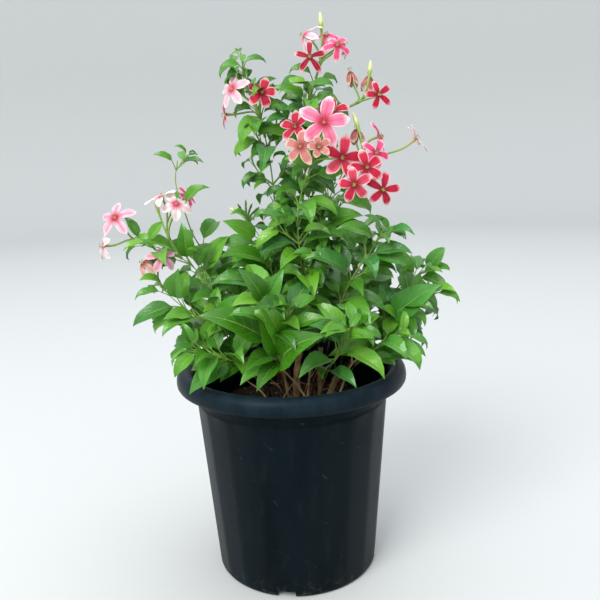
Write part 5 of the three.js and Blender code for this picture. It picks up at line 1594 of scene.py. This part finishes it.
# The camera stands where the photograph was taken from.
CAMERA_PLACE = (0, -0.604297, 0.381264)
CAMERA_PITCH = 0.205
CAMERA_YAW = 0.017
CAMERA_ROLL = -0.034
SENSOR = 36
LENS = SENSOR * 664.863 / 600
# The floor is a wide bowl: the radius and height of its edge, the radius of the bend that it rises in, and
# the radius of its flat middle.
STAGE_RADIUS = 4400
STAGE_TOP = 2000
STAGE_BEND = 1000
STAGE_MIDDLE = 200


def add_lamp(name, place, aim, size, power, colour):
    """A soft square light that looks at a point."""
    lamp = bpy.data.lights.new(name, "AREA")
    lamp.size, lamp.energy, lamp.color = size, power, linear(colour)[:3]
    thing = bpy.data.objects.new(name, lamp)
    way = Vector(aim) - Vector(place)
    thing.matrix_world = Matrix.Translation(place) @ way.to_track_quat("-Z", "Y").to_matrix().to_4x4()
    bpy.context.scene.collection.objects.link(thing)


class MakeStage(Operator):
    """Lays the floor and sets the lights and the camera"""
    bl_idname = "creeper.stage"
    bl_label = "Floor, light and camera"

    def execute(self, context):
        look = context.scene.creeper_stage
        bend = [
            (STAGE_RADIUS - STAGE_BEND * (1 - math.sin(turn)), STAGE_BEND * (1 - math.cos(turn)))
            for turn in np.linspace(math.pi / 2, 0, 9)]
        floor = drawn("floor", [(STAGE_RADIUS, STAGE_TOP), *bend, (STAGE_MIDDLE, 0)], 96)
        bpy.ops.mesh.edge_face_add()
        bpy.ops.object.mode_set(mode="OBJECT")
        floor.data.materials.append(stage_paint(look))
        bpy.ops.object.shade_smooth()
        world = bpy.data.worlds.new("pale_room")
        world.use_nodes = True
        background = world.node_tree.nodes["Background"]
        background.inputs["Color"].default_value = linear("e4e8ea")
        background.inputs["Strength"].default_value = 1.42 * look.light
        context.scene.world = world
        add_lamp("window_light", (-1.6, -2.3, 2.6), (0, 0, 0.3), 2.0, 125 * look.light, "fffefb")
        add_lamp("ceiling_light", (0.6, 0.4, 3.2), (0, 0, 0.3), 2.2, 30 * look.light, "f1f7ff")
        camera = bpy.data.objects.new("camera", bpy.data.cameras.new("camera"))
        camera.data.sensor_width, camera.data.lens = SENSOR, LENS
        camera.matrix_world = (
            Matrix.Translation(CAMERA_PLACE) @ Matrix.Rotation(-CAMERA_YAW, 4, "Z")
            @ Matrix.Rotation(math.pi / 2 - CAMERA_PITCH, 4, "X") @ Matrix.Rotation(CAMERA_ROLL, 4, "Z"))
        context.scene.collection.objects.link(camera)
        context.scene.camera = camera
        context.scene.view_settings.view_transform = "Standard"
        return {"FINISHED"}


# The add-on

class CreeperPanel(Panel):
    """The pieces of the potted creeper"""
    bl_label = "Potted rangoon creeper"
    bl_idname = "VIEW3D_PT_creeper"
    bl_space_type = "VIEW_3D"
    bl_region_type = "UI"
    bl_category = "Creeper"

    def draw(self, context):
        for step in STEPS:
            self.layout.operator(step.bl_idname)
        for name in SETTINGS:
            settings = getattr(context.scene, name)
            box = self.layout.box()
            box.label(text=type(settings).__doc__)
            for key in settings.__annotations__:
                box.prop(settings, key)


STEPS = (MakePot, MakeSoil, MakeLitter, MakeWood, MakeShoots, MakeBlooms, MakeStage)
SETTINGS = {
    "creeper_pot": PotSettings,
    "creeper_soil": SoilSettings,
    "creeper_wood": WoodSettings,
    "creeper_leaf": LeafSettings,
    "creeper_bloom": BloomSettings,
    "creeper_stage": StageSettings,
}


def register():
    for group in (*SETTINGS.values(), *STEPS, CreeperPanel):
        bpy.utils.register_class(group)
    for name, group in SETTINGS.items():
        setattr(bpy.types.Scene, name, PointerProperty(type=group))


def unregister():
    for name in SETTINGS:
        delattr(bpy.types.Scene, name)
    for group in reversed((*SETTINGS.values(), *STEPS, CreeperPanel)):
        bpy.utils.unregister_class(group)


def main():
    """Builds every piece and the stage, and notes the sizes before and after."""
    register()
    bpy.ops.creeper.pot()
    bpy.ops.creeper.soil()
    bpy.ops.creeper.litter()
    bpy.ops.creeper.wood()
    bpy.ops.creeper.shoots()
    bpy.ops.creeper.blooms()
    bpy.ops.creeper.stage()


if __name__ == "__main__":
    main()
